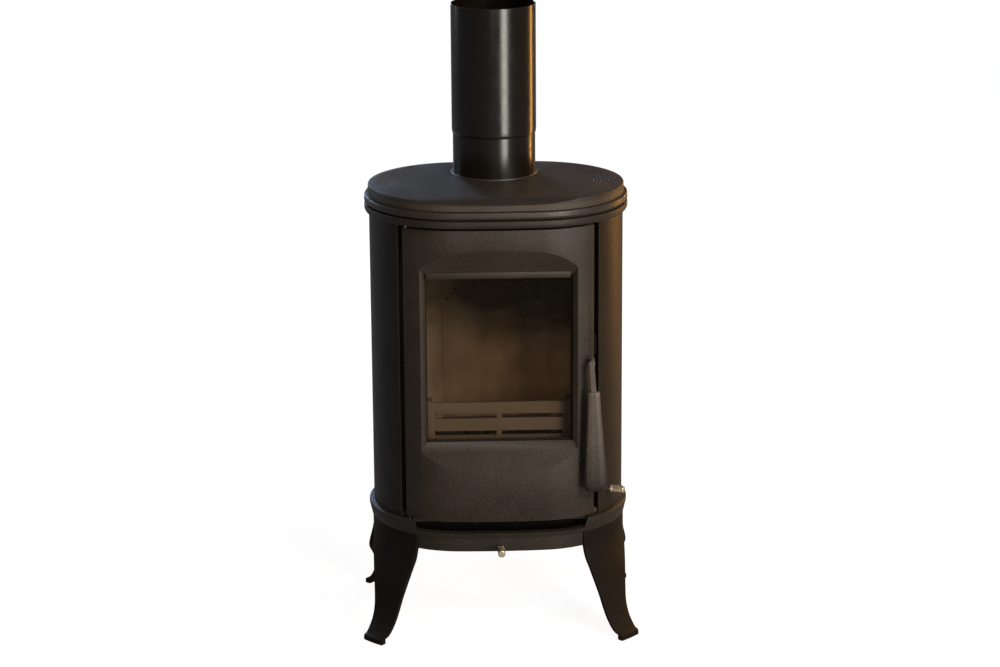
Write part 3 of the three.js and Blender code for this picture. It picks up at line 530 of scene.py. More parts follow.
# Painted shade: near-black iron for the parts that sit in shaded gaps
SHADE_IRON = plain("dark_iron_painted_shade", (0.007, 0.0055, 0.0042), 0.8, depth=0.3, scale=260, specular=0.1)
STEEL = plain("plain_steel", (0.30, 0.28, 0.26), 0.38, metallic=1.0, depth=0.04)
RIM_STEEL = plain("rim_steel", (0.42, 0.40, 0.37), 0.33, metallic=1.0, depth=0.03)
COLLAR_STEEL = plain("collar_steel", (0.10, 0.092, 0.082), 0.4, metallic=0.8, depth=0.03)
NICKEL = plain("nickel", (0.82, 0.69, 0.5), 0.24, metallic=0.82, depth=0.0)
ROPE = plain("glass_rope", (0.016, 0.0135, 0.011), 0.95, depth=1.2, scale=700, specular=0.1)

# Heat stain of the lining, by noise
BOARD_COLORS = [(0.36, (0.205, 0.145, 0.092)), (0.52, (0.265, 0.195, 0.125)),
                (0.66, (0.31, 0.24, 0.165))]
SOOT_COLOR = (0.009, 0.0068, 0.005, 1)
CLOUD_STRETCH, CLOUD_SCALE = (0.55, 1, 1.5), 13
STAIN_STRETCH, STAIN_SCALE = (1, 1, 0.7), 9
# Heights and sideways places in metres, and what they add to the bank of soot
SOOT_HEIGHTS = (0.437, 0.562, 0.0, 1.0)
SOOT_SIDEWAYS = (-0.13, -0.02, -0.62, 0.0)
SOOT_DRIFT = 0.13
SOOT_EDGE = (0.0, 0.92, 0.0, 0.98)
# Painted light across the lining: darker and cooler at the left wall, lighter and warmer to the
# right; and painted light that makes it lighter still near the hearth
PAINTED_LIGHT_SPAN = (-0.13, 0.11, 0.0, 1.0)
PAINTED_LIGHT_TINTS = [(0.0, (0.33, 0.355, 0.40)), (0.2, (0.32, 0.325, 0.335)), (0.45, (0.36, 0.35, 0.335)),
         (0.7, (0.85, 0.79, 0.7)), (1.0, (1.0, 0.92, 0.8))]
PAINTED_LIGHT_HEIGHTS = (0.37, 0.44, 3.8, 2.4)


def fire_board():
    """Heat-stained lining board: tan, with a bank of cloudy soot across its top, and painted light
    to the right and near the hearth.
    """
    material, tree, shader = node_tree("fire_board")
    vector = coordinates(tree)
    axes = separated(tree, vector)
    cloud = noise(tree, coordinates(tree, CLOUD_STRETCH), CLOUD_SCALE, rough=0.6)
    stain = noise(tree, coordinates(tree, STAIN_STRETCH), STAIN_SCALE, rough=0.6)
    board = ramp(tree, stain, BOARD_COLORS)
    height = mapped(tree, axes["Z"], *SOOT_HEIGHTS)
    sideways = mapped(tree, axes["X"], *SOOT_SIDEWAYS)
    drift = spread(tree, cloud, -SOOT_DRIFT, SOOT_DRIFT)
    bank = calculated(tree, "ADD", calculated(tree, "ADD", height, sideways), drift)
    soot = mapped(tree, bank, *SOOT_EDGE, smooth=True)
    # Painted light: the lining is painted lighter from left to right and towards the hearth
    tint = ramp(tree, mapped(tree, axes["X"], *PAINTED_LIGHT_SPAN), PAINTED_LIGHT_TINTS)
    painted_light_low = mapped(tree, axes["Z"], *PAINTED_LIGHT_HEIGHTS, smooth=True)
    mix = tree.nodes.new("ShaderNodeMix")
    mix.data_type = "RGBA"
    mix.inputs["B"].default_value = SOOT_COLOR
    tree.links.new(soot, mix.inputs["Factor"])
    tree.links.new(scaled(tree, tinted(tree, board, tint), painted_light_low), mix.inputs["A"])
    tree.links.new(mix.outputs["Result"], shader.inputs["Base Color"])
    shader.inputs["Roughness"].default_value = 0.95
    shader.inputs["Specular IOR Level"].default_value = 0.1
    grain = noise(tree, vector, 300, 3)
    bump(tree, shader, [(stain, 0.15, 2.0), (grain, 0.12, 0.2)])
    return material


FIRE_BOARD = fire_board()

SMOKE_COLOR = (0.016, 0.011, 0.007, 1)
AMBER = (0.97, 0.93, 0.88, 1)
HAZE = 0.13


def ceramic_glass():
    """Thin amber pane with a faint smoky haze and a clear gloss."""
    material, tree, shader = node_tree("ceramic_glass")
    shader.inputs["Base Color"].default_value = SMOKE_COLOR
    shader.inputs["Roughness"].default_value = 0.04
    clear = tree.nodes.new("ShaderNodeBsdfTransparent")
    clear.inputs["Color"].default_value = AMBER
    mix = tree.nodes.new("ShaderNodeMixShader")
    mix.inputs["Fac"].default_value = HAZE
    tree.links.new(clear.outputs["BSDF"], mix.inputs[1])
    tree.links.new(shader.outputs["BSDF"], mix.inputs[2])
    tree.links.new(mix.outputs["Shader"], tree.nodes["Material Output"].inputs["Surface"])
    return material


GLASS = ceramic_glass()


def coated(obj, material):
    """Gives an object one material."""
    obj.data.materials.clear()
    obj.data.materials.append(material)


def finished(obj, material, body, *stands_for):
    """Gives a new piece its finish and its body, and hides the CAD nodes that it stands for."""
    obj.data.polygons.foreach_set("material_index", [0] * len(obj.data.polygons))
    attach(obj, body)
    if stands_for:
        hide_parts(*stands_for)
    coated(obj, material)


def dressed(name, material, width, segments=2, angle=SOFT_ANGLE):
    """Finish for a CAD node that is shown as it is, with its edges rounded by width."""
    soften(nodes[name], width, segments, angle)
    coated(nodes[name], material)


# ---- Flue ----

FLUE = (0, 77.5, 0)
PIPE_RADIUS = 75.0
PIPE_BORE = 73.5
PIPE_BOTTOM = 874.0
PIPE_TOP = 1104.0
PIPE_CHAMFER = 0.4
# The pipe's pressed-in lower end: how much narrower it is at a height above its bottom
PIPE_FOOT = [(1.25, 0), (0.9, 0.7), (0.55, 2.0), (0.28, 4.0), (0.1, 6.5), (0, 10.0)]
NECK_RADIUS = 73.2
NECK_BORE = 71.2
NECK_TOP = 905.0
COLLAR_RADIUS = 77.8
COLLAR_BORE = 66.0
COLLAR_SEAT = 6.3
COLLAR_TOP = 803.0
ROUND_SIDES = 192

pipe = lathe("flue_pipe_length", [
    (PIPE_BORE, PIPE_BOTTOM),
    *((PIPE_RADIUS - inset, PIPE_BOTTOM + height) for inset, height in PIPE_FOOT),
    (PIPE_RADIUS, PIPE_TOP - PIPE_CHAMFER), (PIPE_RADIUS - PIPE_CHAMFER, PIPE_TOP),
    (PIPE_BORE + PIPE_CHAMFER, PIPE_TOP), (PIPE_BORE, PIPE_TOP - PIPE_CHAMFER),
], FLUE, sides=ROUND_SIDES)
finished(pipe, ENAMEL, "stove", "flue_pipe")

neck_foot = CASTING_TOP + COLLAR_SEAT + GAP
neck = lathe("flue_neck", [
    (NECK_BORE, neck_foot), (NECK_RADIUS, neck_foot), (NECK_RADIUS, NECK_TOP),
    (NECK_BORE, NECK_TOP),
], FLUE, sides=ROUND_SIDES)
finished(neck, ENAMEL, "stove", "neck_pipe")

collar_foot = CASTING_TOP + GAP
collar = lathe("flue_collar_ring", rounded([
    (COLLAR_BORE, collar_foot), (COLLAR_RADIUS, collar_foot), (COLLAR_RADIUS, COLLAR_TOP),
    (NECK_RADIUS + GAP, COLLAR_TOP), (NECK_RADIUS + GAP, CASTING_TOP + COLLAR_SEAT),
    (COLLAR_BORE, CASTING_TOP + COLLAR_SEAT),
], [0, 0, 1.0, 0.5, 0, 0]), FLUE, sides=ROUND_SIDES)
finished(collar, COLLAR_STEEL, "stove", "flue_collar")

# ---- Lid, top casting and top frame ----

BORE_LOW, BORE_HIGH = 700, 900      # ends of upright cutters, clear of all they cut

LID_RIM = 1.4
LID_FOOT = CASTING_TOP + GAP
LID_WALL = 9.0
LID_BOSS = COLLAR_RADIUS + 8
LID_HOLE = COLLAR_RADIUS + 1
LID_HOLE_FLARE = 0.8
LID_HOLE_LOW, LID_HOLE_HIGH = 770, 820
# Edge of the lid from its foot up: inset from the rim, and height
LID_EDGE = [
    (0.5, LID_FOOT), (0, LID_FOOT + 0.5), (0, LID_TOP - 1.5), (0.25, LID_TOP - 0.7),
    (0.8, LID_TOP - 0.2), (1.6, LID_TOP),
]
# The sloped front of the lid: y, and height against the top; the last four clear the cutter
LID_SLOPE = [(-136, 0.01), (-140.5, -0.25), (-144.5, -0.95), (-149, -2.1), (-153.5, -3.6),
             (-158, -5.6), (-164, -9.0), (-180, -18.0), (-180, 6), (-136, 6)]
SLOPE_REACH = 300
# Grooves at the lid's ends: section, place, spacing and how far round they go
GROOVE = [(-0.9, 0.4), (-0.55, -0.35), (0, -0.6), (0.55, -0.35), (0.9, 0.4)]
GROOVES = 7
GROOVE_START, GROOVE_PITCH = -12.0, 6.5
GROOVE_SWEEP, GROOVE_SHRINK = 58, 3

lid = loft("lid_plate", [
    [(*oval_point(a, LID_RIM - inset), z) for a in oval_loop(FINE_STEP)]
    for inset, z in LID_EDGE
])
slope_cut = loft("slope", [
    [(x, y, LID_TOP + dz) for y, dz in LID_SLOPE] for x in (-SLOPE_REACH, SLOPE_REACH)
])
lid_hole = lathe("hole", [
    (0, LID_HOLE_LOW), (LID_HOLE, LID_HOLE_LOW), (LID_HOLE, LID_TOP - LID_HOLE_FLARE),
    (LID_HOLE + LID_HOLE_FLARE, LID_TOP), (LID_HOLE + LID_HOLE_FLARE, LID_HOLE_HIGH),
    (0, LID_HOLE_HIGH),
], FLUE, sides=ROUND_SIDES)
cut(lid, slope_cut, lid_hole)
hollow = oval_prism("hollow", -LID_WALL, LID_FOOT - 1, LID_FOOT + LID_WALL)
cut(hollow, cylinder("boss", LID_BOSS, BORE_LOW, BORE_HIGH, FLUE))
cut(lid, hollow)


def end_groove(side, index):
    """Half-round cut along an end arc of the lid's top, counted inwards from the rim."""
    offset = GROOVE_START - GROOVE_PITCH * index
    middle = 0 if side > 0 else math.pi
    reach = math.radians(GROOVE_SWEEP - GROOVE_SHRINK * index)
    profile = [(offset + across, LID_TOP + height) for across, height in GROOVE]
    return oval_sweep("groove", profile, middle - reach, middle + reach, FINE_STEP)


grooves = [end_groove(side, index) for side in (1, -1) for index in range(GROOVES)]
cut(lid, joined("grooves", grooves))
finished(creased(lid), LID_IRON, "stove", "lid")

CASTING_OVERHANG = 8.2
CASTING_WALL = 8.0
CASTING_OVERLAP = 1.0      # of the plate and the ring around it
PLATE_SINK = 0.05          # keeps the plate's top off the ring's

low = CROWN_TOP + GAP
casting = oval_sweep("top_casting_ring", rounded([
    (2.5, low), (6.8, low + 3.5), (CASTING_OVERHANG, low + 6.5), (CASTING_OVERHANG, CASTING_TOP),
    (-CASTING_WALL, CASTING_TOP), (-CASTING_WALL, low),
], [0.8, 2.5, 2.5, 1.8, 0, 0]))
plate = oval_prism("plate", -CASTING_WALL + CASTING_OVERLAP, CASTING_TOP - CASTING_WALL,
                   CASTING_TOP - PLATE_SINK)
cut(plate, cylinder("hole", COLLAR_BORE, BORE_LOW, BORE_HIGH, FLUE))
finished(joined("top_casting_plate", [casting, plate]), TOP_IRON, "stove", "top_casting")

FRAME_DEPTH = 30.0
frame_ring = oval_sweep("top_frame_ring", rounded([
    (1.5, BODY_TOP), (6, BODY_TOP + 1), (7.6, BODY_TOP + 4), (CASTING_OVERHANG, BODY_TOP + 7),
    (CASTING_OVERHANG, CROWN_TOP), (-FRAME_DEPTH, CROWN_TOP), (-FRAME_DEPTH, BODY_TOP),
], [0.4, 2.0, 2.0, 2.0, 1.2, 0, 0]))
finished(frame_ring, SHADED_RING_IRON, "stove", "top_frame")

# ---- Panels ----

PANEL_FRONT_X = 174.5
PANEL_WALL = 3.0
PANEL_ROUND = 1.3
PANEL_BOTTOM = LEDGE_TOP + GAP
PANEL_TOP = BODY_TOP - GAP
REAR_ANGLE = math.radians(62)
REAR_SEAM = math.radians(0.3)
REAR_LOW, REAR_HIGH = 100, 200      # ends of cutters through the rear panel
OUTLET_Z = 640.0
OUTLET_RADIUS = 70.0
VENT_HALF, VENT_HEIGHT, VENT_ROUND = 90, 8, 3.9
VENT_LEVELS = (255, 275, 295)
COVER_BOLT_X = 76
COVER_BOLT_HOLE = 3.3
SIDE_AIR_HOLE, SIDE_AIR_REACH = 3.4, 20
SIDE_AIR_SPOT = math.radians(-40)
SIDE_AIR_TURN = math.radians(-20)
SIDE_AIR_AXIS = (math.cos(SIDE_AIR_TURN), math.sin(SIDE_AIR_TURN), 0)


def wall_outline(first, last, outer, inner, radius):
    """Plan of a wall that follows the oval, with rounded ends."""
    angles = oval_angles(first, last)
    outside = [oval_point(a, outer) for a in angles]
    inside = [oval_point(a, inner) for a in reversed(angles)]
    count = len(angles)
    radii = [0.0] * (2 * count)
    for corner in (0, count - 1, count, 2 * count - 1):
        radii[corner] = radius
    return rounded(outside + inside, radii, 4)


def wall(name, first, last):
    """Body panel between two normal angles of the oval."""
    outline = wall_outline(first, last, 0, -PANEL_WALL, PANEL_ROUND)
    return prism(name, outline, PANEL_BOTTOM, PANEL_TOP)


def side_air_point(along):
    """Point on the side air rod's axis, at a distance out from the body's face."""
    x, y = oval_point(SIDE_AIR_SPOT, 0)
    return (x + SIDE_AIR_AXIS[0] * along, y + SIDE_AIR_AXIS[1] * along, SIDE_AIR_Z)


front_edge = front_angle(PANEL_FRONT_X)
left_panel = wall("side_wall_left", math.pi - REAR_ANGLE, math.pi - front_edge)
finished(creased(left_panel), PANEL, "stove", "side_panel_left")
right_panel = wall("side_wall_right", front_edge, REAR_ANGLE)
cut(right_panel, cylinder("hole", SIDE_AIR_HOLE, -SIDE_AIR_REACH, SIDE_AIR_REACH,
                          side_air_point(0), SIDE_AIR_AXIS, 32))
finished(creased(right_panel), PANEL, "stove", "side_panel_right")

first = REAR_ANGLE + REAR_SEAM
rear = wall("rear_wall", first, math.pi - first)
outlet = (0, 0, OUTLET_Z)
cut(rear, cylinder("outlet", OUTLET_RADIUS, REAR_LOW, REAR_HIGH, outlet, BACKWARDS))
for z in VENT_LEVELS:
    vent = [(-VENT_HALF, z), (VENT_HALF, z), (VENT_HALF, z + VENT_HEIGHT),
            (-VENT_HALF, z + VENT_HEIGHT)]
    cut(rear, slab("vent", rounded(vent, VENT_ROUND), REAR_LOW, REAR_HIGH))
for x in (-COVER_BOLT_X, COVER_BOLT_X):
    bolt_spot = (x, 0, OUTLET_Z)
    cut(rear, cylinder("bolt", COVER_BOLT_HOLE, REAR_LOW, REAR_HIGH, bolt_spot, BACKWARDS, 24))
finished(creased(rear), PANEL, "stove", "rear_panel")

# Plate over the outlet, turned about the outlet's axis: radius, and distance from the panel
cover = lathe("rear_flue_cover", rounded([
    (0, -1.9), (66, -1.9), (66, 0), (86, 0), (86, 4), (83, 6), (60, 6), (57, 9), (0, 9),
], [0, 0, 0, 0.8, 1.5, 1.5, 1.5, 2, 0]), (0, HALF_DEPTH + GAP, OUTLET_Z), BACKWARDS, 128)
finished(cover, IRON, "stove", "rear_outlet_cover")
for side in ("left", "right"):
    dressed(f"rear_cover_bolt_{side}", STEEL, 0.5)

# ---- Base ring and legs ----

LEDGE_OVERHANG = 8.5
LEDGE_DEPTH = 24.0
LEDGE_THICKNESS = 7.0
RAIL_WALL = 8.0
RAIL_HALF = 145.0
RAIL_OVERLAP = 1.0
NOTCH_HALF = 151.0
NOTCH_FLOOR = NOTCH_HALF - 3        # half width at the rail's top
NOTCH_MOUTH = NOTCH_HALF + 4        # half width above the ledge
NOTCH_FRONT, NOTCH_BACK = -HALF_DEPTH - 20, -HALF_DEPTH + 36
FRONT_AIR_HOLE = 4.5
LEG_BOLT_ANGLE = math.radians(32)
LEG_BOLT_HOLE = 4.8
LEG_BOLT_DEPTH = 10.0               # below the ledge's top
LEG_BOLT_BOSS = 10.0
LEG_BOLT_INSET = 15.0
bolt_x, bolt_y = oval_point(LEG_BOLT_ANGLE, -LEG_BOLT_INSET)

ledge_foot = LEDGE_TOP - LEDGE_THICKNESS
ring = oval_sweep("base_ring_casting", rounded([
    (4, LEG_TOP), (LEDGE_OVERHANG, ledge_foot), (LEDGE_OVERHANG, LEDGE_TOP),
    (-LEDGE_DEPTH, LEDGE_TOP), (-LEDGE_DEPTH, ledge_foot), (-RAIL_WALL, ledge_foot),
    (-RAIL_WALL, LEG_TOP),
], [1.0, 3.0, 1.8, 0, 0, 0, 0]))
rail_start = front_angle(-RAIL_HALF)
rail_end = front_angle(RAIL_HALF)
rail_profile = rounded([
    (1, RAIL_BOTTOM), (1, LEG_TOP + RAIL_OVERLAP), (-RAIL_WALL, LEG_TOP + RAIL_OVERLAP),
    (-RAIL_WALL, RAIL_BOTTOM),
], [1.6, 0, 0, 1.0])
for name, first, last in (("front", rail_start, rail_end), ("rear", -rail_end, -rail_start)):
    shaped(ring, oval_sweep(name, rail_profile, first, last), "UNION")
notch = [(-NOTCH_FLOOR, RAIL_TOP), (NOTCH_FLOOR, RAIL_TOP), (NOTCH_MOUTH, LEDGE_TOP + 1),
         (-NOTCH_MOUTH, LEDGE_TOP + 1)]
cut(ring, slab("notch", notch, NOTCH_FRONT, NOTCH_BACK))
for x_side in (-1, 1):
    for y_side in (-1, 1):
        spot = (x_side * bolt_x, y_side * bolt_y, 0)
        boss = cylinder("boss", LEG_BOLT_BOSS, LEG_TOP, LEDGE_TOP - 1, spot, sides=32)
        shaped(ring, boss, "UNION")
        cut(ring, cylinder("hole", LEG_BOLT_HOLE, LEG_TOP - 1, LEDGE_TOP - LEG_BOLT_DEPTH, spot,
                           sides=24))
front_air_spot = (0, -HALF_DEPTH, FRONT_AIR_Z)
cut(ring, cylinder("hole", FRONT_AIR_HOLE, -5, 20, front_air_spot, BACKWARDS, 32))
soften(ring, 0.9, 2, 34)
finished(ring, SHADED_RING_IRON, "stove", "base_ring")

# Leg by height: distance out from the end arc's centre, and its two edges in degrees
LEG_TABLE = [
    (0, 230, 50, 38.3), (9, 229, 50, 38.2), (12, 221, 50.2, 37.6), (20, 212, 50.6, 36.6),
    (32, 203, 51.1, 35.6), (50, 194, 51.6, 33.8), (76, 186, 52.8, 30.4), (102, 179.5, 54.8, 26.2),
    (126, 172.5, 56.7, 20.7), (150, 165.5, 58.6, 13.2), (172, 161.5, 59.2, 7.5),
    (194.7, 161, 59.4, 4),
]
LEG_LEVELS = ([0.0, 0.8, 2.0, 4.0, 6.5, 8.0, 9.0, 9.8, 10.6, 11.4, 12.2, 13.5]
              + [float(z) for z in range(15, 192, 3)] + [LEG_TOP - GAP])
LEG_WALL = 8.0
TOE_WALL = 12.0
TOE_HEIGHT = 30.0
SOLE_ROUND = 1.6
SOLE_CURVE = 0.55
LEG_STEPS = 14
# The rear legs are wider at the knee: degrees, height and how far up and down it reaches
KNEE_TURN, KNEE_HEIGHT, KNEE_REACH = 9.5, 118, 34
OUTER_ROUND_FIRST, OUTER_ROUND_LAST, INNER_ROUND = 2.2, 2.6, 2.0
LUG_SPREAD = math.radians(9)
LUG_THICKNESS = 9.0
LUG_OUTER, LUG_INNER, LUG_ROUND = -2, -26, 2.5


def leg_section(end, z):
    """Plan of a leg at a height, measured from the centre of its end arc."""
    radius, inner, outer = smooth_row(LEG_TABLE, z)
    if end == "rear":
        outer -= KNEE_TURN * math.exp(-(((z - KNEE_HEIGHT) / KNEE_REACH) ** 2))
    toe = max(0.0, 1 - z / TOE_HEIGHT)
    thickness = LEG_WALL + (TOE_WALL - LEG_WALL) * toe
    inset = max(0.0, SOLE_ROUND - z) ** 2 * SOLE_CURVE
    first = math.radians(outer) + inset / radius
    last = math.radians(inner) - inset / radius
    angles = [first + (last - first) * i / LEG_STEPS for i in range(LEG_STEPS + 1)]
    outside, inside = (
        [(reach * math.cos(a), reach * math.sin(a)) for a in angles]
        for reach in (radius - inset, radius - thickness + inset)
    )
    radii = [0.0] * (2 * len(angles))
    radii[0] = OUTER_ROUND_FIRST
    radii[LEG_STEPS] = OUTER_ROUND_LAST
    radii[LEG_STEPS + 1] = radii[-1] = INNER_ROUND
    return rounded(outside + inside[::-1], radii, 4)


def leg(side, end):
    """Splayed leg with the lug that bolts it to the base ring."""
    x_side = 1 if side == "right" else -1
    y_side = -1 if end == "front" else 1
    sections = [
        [(x_side * (END_CENTRE + x), y_side * y, z) for x, y in leg_section(end, z)]
        for z in LEG_LEVELS
    ]
    shell = loft(f"leg_shell_{end}_{side}", sections, sharp=40)
    angle = y_side * LEG_BOLT_ANGLE if side == "right" else math.pi - y_side * LEG_BOLT_ANGLE
    outline = wall_outline(angle - LUG_SPREAD, angle + LUG_SPREAD, LUG_OUTER, LUG_INNER,
                           LUG_ROUND)
    lug = prism("lug", outline, LEG_TOP - LUG_THICKNESS, LEG_TOP - GAP)
    spot = (x_side * bolt_x, y_side * bolt_y, 0)
    cut(lug, cylinder("hole", LEG_BOLT_HOLE, LEG_TOP - 25, LEG_TOP + 15, spot, sides=24))
    casting = joined(f"leg_casting_{end}_{side}", [shell, lug])
    finished(casting, SHADED_LEG_IRON, "stove", f"leg_{end}_{side}")


for end in ("front", "rear"):
    for side in ("left", "right"):
        leg(side, end)
        dressed(f"leg_bolt_{end}_{side}", STEEL, 0.6)

# ---- Door ----

DOOR_HALF = 165.5
DOOR_BOTTOM = 223.5
DOOR_TOP = 750.0
DOOR_REAR_Y = -117.0
DOOR_WALL = 7.0
INSIDE_Y = -90.0            # end of cutters through the door
SEAT_Y = -132.0             # the flat that the glass lies behind
SEAT_THICKNESS = 5.0
WINDOW_HALF = 128.0
WINDOW_BOTTOM = 363.5
WINDOW_TOP = 663.0
# Slope of the window's recess: rise or fall for each millimetre forwards
TOP_SLOPE = 1.836
BOTTOM_SLOPE = 1.707
RECESS_REACH = 40.0
POCKET_HALF = 137.0
POCKET_BOTTOM = WINDOW_BOTTOM - 32
POCKET_TOP = WINDOW_TOP + 30
HOLLOW_BOTTOM = DOOR_BOTTOM + 28.5
HOLLOW_TOP = WINDOW_BOTTOM - 66
PIN_SPOT = (-160, -121.5, 0)
PIN_HOLE = 2.9
PIN_DEPTH = 25.0
HANDLE_X, HANDLE_Y, HANDLE_Z = 160.0, -155.0, 510.0
SPINDLE_HOLE = 4.4
DOOR_CREASE = 40

face = [oval_point(a, 0)
        for a in oval_angles(front_angle(-DOOR_HALF), front_angle(DOOR_HALF), FINE_STEP)]
door = prism("door_frame_casting",
             face + [(DOOR_HALF, DOOR_REAR_Y), (-DOOR_HALF, DOOR_REAR_Y)], DOOR_BOTTOM, DOOR_TOP)
inner_face = [oval_point(a, -DOOR_WALL)
              for a in oval_angles(front_angle(-POCKET_HALF), front_angle(POCKET_HALF))]
window = []
for reach in (0, RECESS_REACH):
    x = WINDOW_HALF + reach
    y = SEAT_Y - reach
    z0 = WINDOW_BOTTOM - BOTTOM_SLOPE * reach
    z1 = WINDOW_TOP + TOP_SLOPE * reach
    window.append([(-x, y, z0), (x, y, z0), (x, y, z1), (-x, y, z1)])
cut(door,
    block("pocket", -POCKET_HALF, POCKET_HALF, SEAT_Y + SEAT_THICKNESS, INSIDE_Y,
          POCKET_BOTTOM, POCKET_TOP),
    prism("hollow", inner_face + [(POCKET_HALF, INSIDE_Y), (-POCKET_HALF, INSIDE_Y)],
          HOLLOW_BOTTOM, HOLLOW_TOP),
    loft("window", window),
    block("opening", -WINDOW_HALF, WINDOW_HALF, SEAT_Y - 1, INSIDE_Y, WINDOW_BOTTOM, WINDOW_TOP),
    cylinder("hole", SPINDLE_HOLE, -200, INSIDE_Y, (HANDLE_X, 0, HANDLE_Z), BACKWARDS, 32))
# Bar along the window's top, a little shorter at the right as in the photograph
bar = block("bar", -WINDOW_HALF + 2, WINDOW_HALF - 4, SEAT_Y - 6.5, SEAT_Y + 1,
            WINDOW_TOP - 3, WINDOW_TOP + 8)
shaped(door, bar, "UNION")
soften(door, 1.2, 3, 24)
for z0, z1 in ((DOOR_BOTTOM - 1, DOOR_BOTTOM + PIN_DEPTH), (DOOR_TOP - PIN_DEPTH, DOOR_TOP + 1)):
    cut(door, cylinder("pin_hole", PIN_HOLE, z0, z1, PIN_SPOT, sides=32))
finished(creased(door, DOOR_CREASE), IRON, "door", "door_casting")

GLASS_FRONT = SEAT_Y + SEAT_THICKNESS + 2.0
GLASS_THICKNESS = 4.0
GLASS_LAP = 6.5
GASKET_FRONT, GASKET_BACK = GLASS_FRONT - 1.4, GLASS_FRONT - 0.2
GASKET_BELOW, GASKET_ABOVE, GASKET_LEFT, GASKET_RIGHT = 3.0, 2.0, 2.2, 3.6

glass = block("window_pane", -WINDOW_HALF - GLASS_LAP, WINDOW_HALF + GLASS_LAP, GLASS_FRONT,
              GLASS_FRONT + GLASS_THICKNESS, WINDOW_BOTTOM - GLASS_LAP, WINDOW_TOP + GLASS_LAP)
soften(glass, 0.6, 2)
finished(glass, GLASS, "door", "door_glass")
dressed("glass_tape", ROPE, 0.3)
# Dark rope strips inside the window's edges: a gasket, and painted shade along the dark edges of
# the window, widest at the right
gasket_and_shade = [
    block("gasket_and_shade", x0, x1, GASKET_FRONT, GASKET_BACK, z0, z1) for x0, x1, z0, z1 in (
        (-WINDOW_HALF, WINDOW_HALF, WINDOW_BOTTOM, WINDOW_BOTTOM + GASKET_BELOW),
        (-WINDOW_HALF, WINDOW_HALF, WINDOW_TOP - GASKET_ABOVE, WINDOW_TOP),
        (-WINDOW_HALF, -WINDOW_HALF + GASKET_LEFT, WINDOW_BOTTOM, WINDOW_TOP),
        (WINDOW_HALF - GASKET_RIGHT, WINDOW_HALF, WINDOW_BOTTOM, WINDOW_TOP),
    )
]
finished(joined("glass_gasket_and_shade", gasket_and_shade), ROPE, "door")
dressed("door_rope", ROPE, 2.2, 4)
for corner in ("upper_left", "upper_right", "lower_left", "lower_right"):
    dressed(f"glass_clip_{corner}", STEEL, 0.4)
    dressed(f"clip_screw_{corner}", STEEL, 0.4)
for end in ("upper", "lower"):
    dressed(f"hinge_pin_{end}", STEEL, 0.2)

# ---- Handle ----

# Grip by height: its middle, half width and half depth
GRIP_TABLE = [
    (276, 167.6, 13.2, 4.6), (278.5, 167.6, 16.2, 6.8), (284, 167.55, 18.7, 8.4),
    (292, 167.4, 19.4, 9.0), (303, 167.2, 19.3, 9.0), (318, 167, 18.6, 9.0),
    (350, 166.2, 16.4, 8.6), (390, 165.2, 13.8, 8), (430, 164.3, 11.6, 7.4),
    (454, 163.75, 10.5, 7.1), (457, 163.7, 10.0, 6.6), (458, 163.7, 9.2, 6.0),
]
GRIP_LEVELS = [276, 276.8, 278, 279.5, 281.5, 284, 287, *range(290, 451, 5), 454, 456, 457.2, 458]
# Section of the grip in shares of its half width and half depth, and the radii of its corners
GRIP_SECTION = [(-1, -0.35), (-0.8, -0.82), (-0.4, -0.96), (0.4, -0.96), (0.8, -0.82),
                (1, -0.35), (1, 0.4), (0.6, 0.8), (-0.6, 0.8), (-1, 0.4)]
GRIP_ROUNDS = [1.6, 1.4, 4.0, 4.0, 1.4, 1.6, 2.5, 3.0, 3.0, 2.5]
GRIP_SHIFT = -0.7
GRIP_SPARE = 0.35           # added to the half width of the table

sections = []
for z in GRIP_LEVELS:
    x, half, depth = smooth_row(GRIP_TABLE, z)
    half += GRIP_SPARE
    outline = [(half * across, depth * along) for across, along in GRIP_SECTION]
    sections.append([(x + GRIP_SHIFT + dx, HANDLE_Y + dy, z)
                     for dx, dy in rounded(outline, GRIP_ROUNDS, 4)])
grip = loft("handle_grip_casting", sections, sharp=50)
finished(grip, HANDLE_IRON_PAINTED_LIGHT, "handle", "handle_grip")

EYE_RADIUS = 5.4
EYE_HOLE = 4.1
LEVER_HALF = 4.0
LEVER_FOOT = (164.2, 444.0)
LEVER_FOOT_HALF = 4.7
LEVER_NECK = HANDLE_Z - 9
LEVER_NECK_LEFT, LEVER_NECK_RIGHT = HANDLE_X - 4.3, HANDLE_X + 4.6

foot_x, foot_z = LEVER_FOOT
lever_outline = [
    (HANDLE_X + EYE_RADIUS * math.cos(math.radians(a)),
     HANDLE_Z + EYE_RADIUS * math.sin(math.radians(a))) for a in range(-20, 201, 10)
]
lever_outline += [(LEVER_NECK_LEFT, LEVER_NECK), (foot_x - LEVER_FOOT_HALF, foot_z),
                  (foot_x + LEVER_FOOT_HALF, foot_z), (LEVER_NECK_RIGHT, LEVER_NECK)]
lever = slab("handle_lever_casting", lever_outline, HANDLE_Y - LEVER_HALF, HANDLE_Y + LEVER_HALF)
eye = (HANDLE_X, HANDLE_Y, HANDLE_Z)
cut(lever, cylinder("hole", EYE_HOLE, -0.3, 9, eye, BACKWARDS, 48))
soften(lever, 1.5, 3, 40)
finished(lever, HANDLE_IRON_PAINTED_LIGHT, "handle", "handle_lever")
dressed("handle_spindle", INSIDE_IRON, 0.4)
# The latch parts are in near-black iron, painted shade
dressed("latch_finger", SHADE_IRON, 0.5)
dressed("latch_nut", SHADE_IRON, 0.5)
dressed("latch_keeper", SHADE_IRON, 0.4)

# ---- Air controls ----

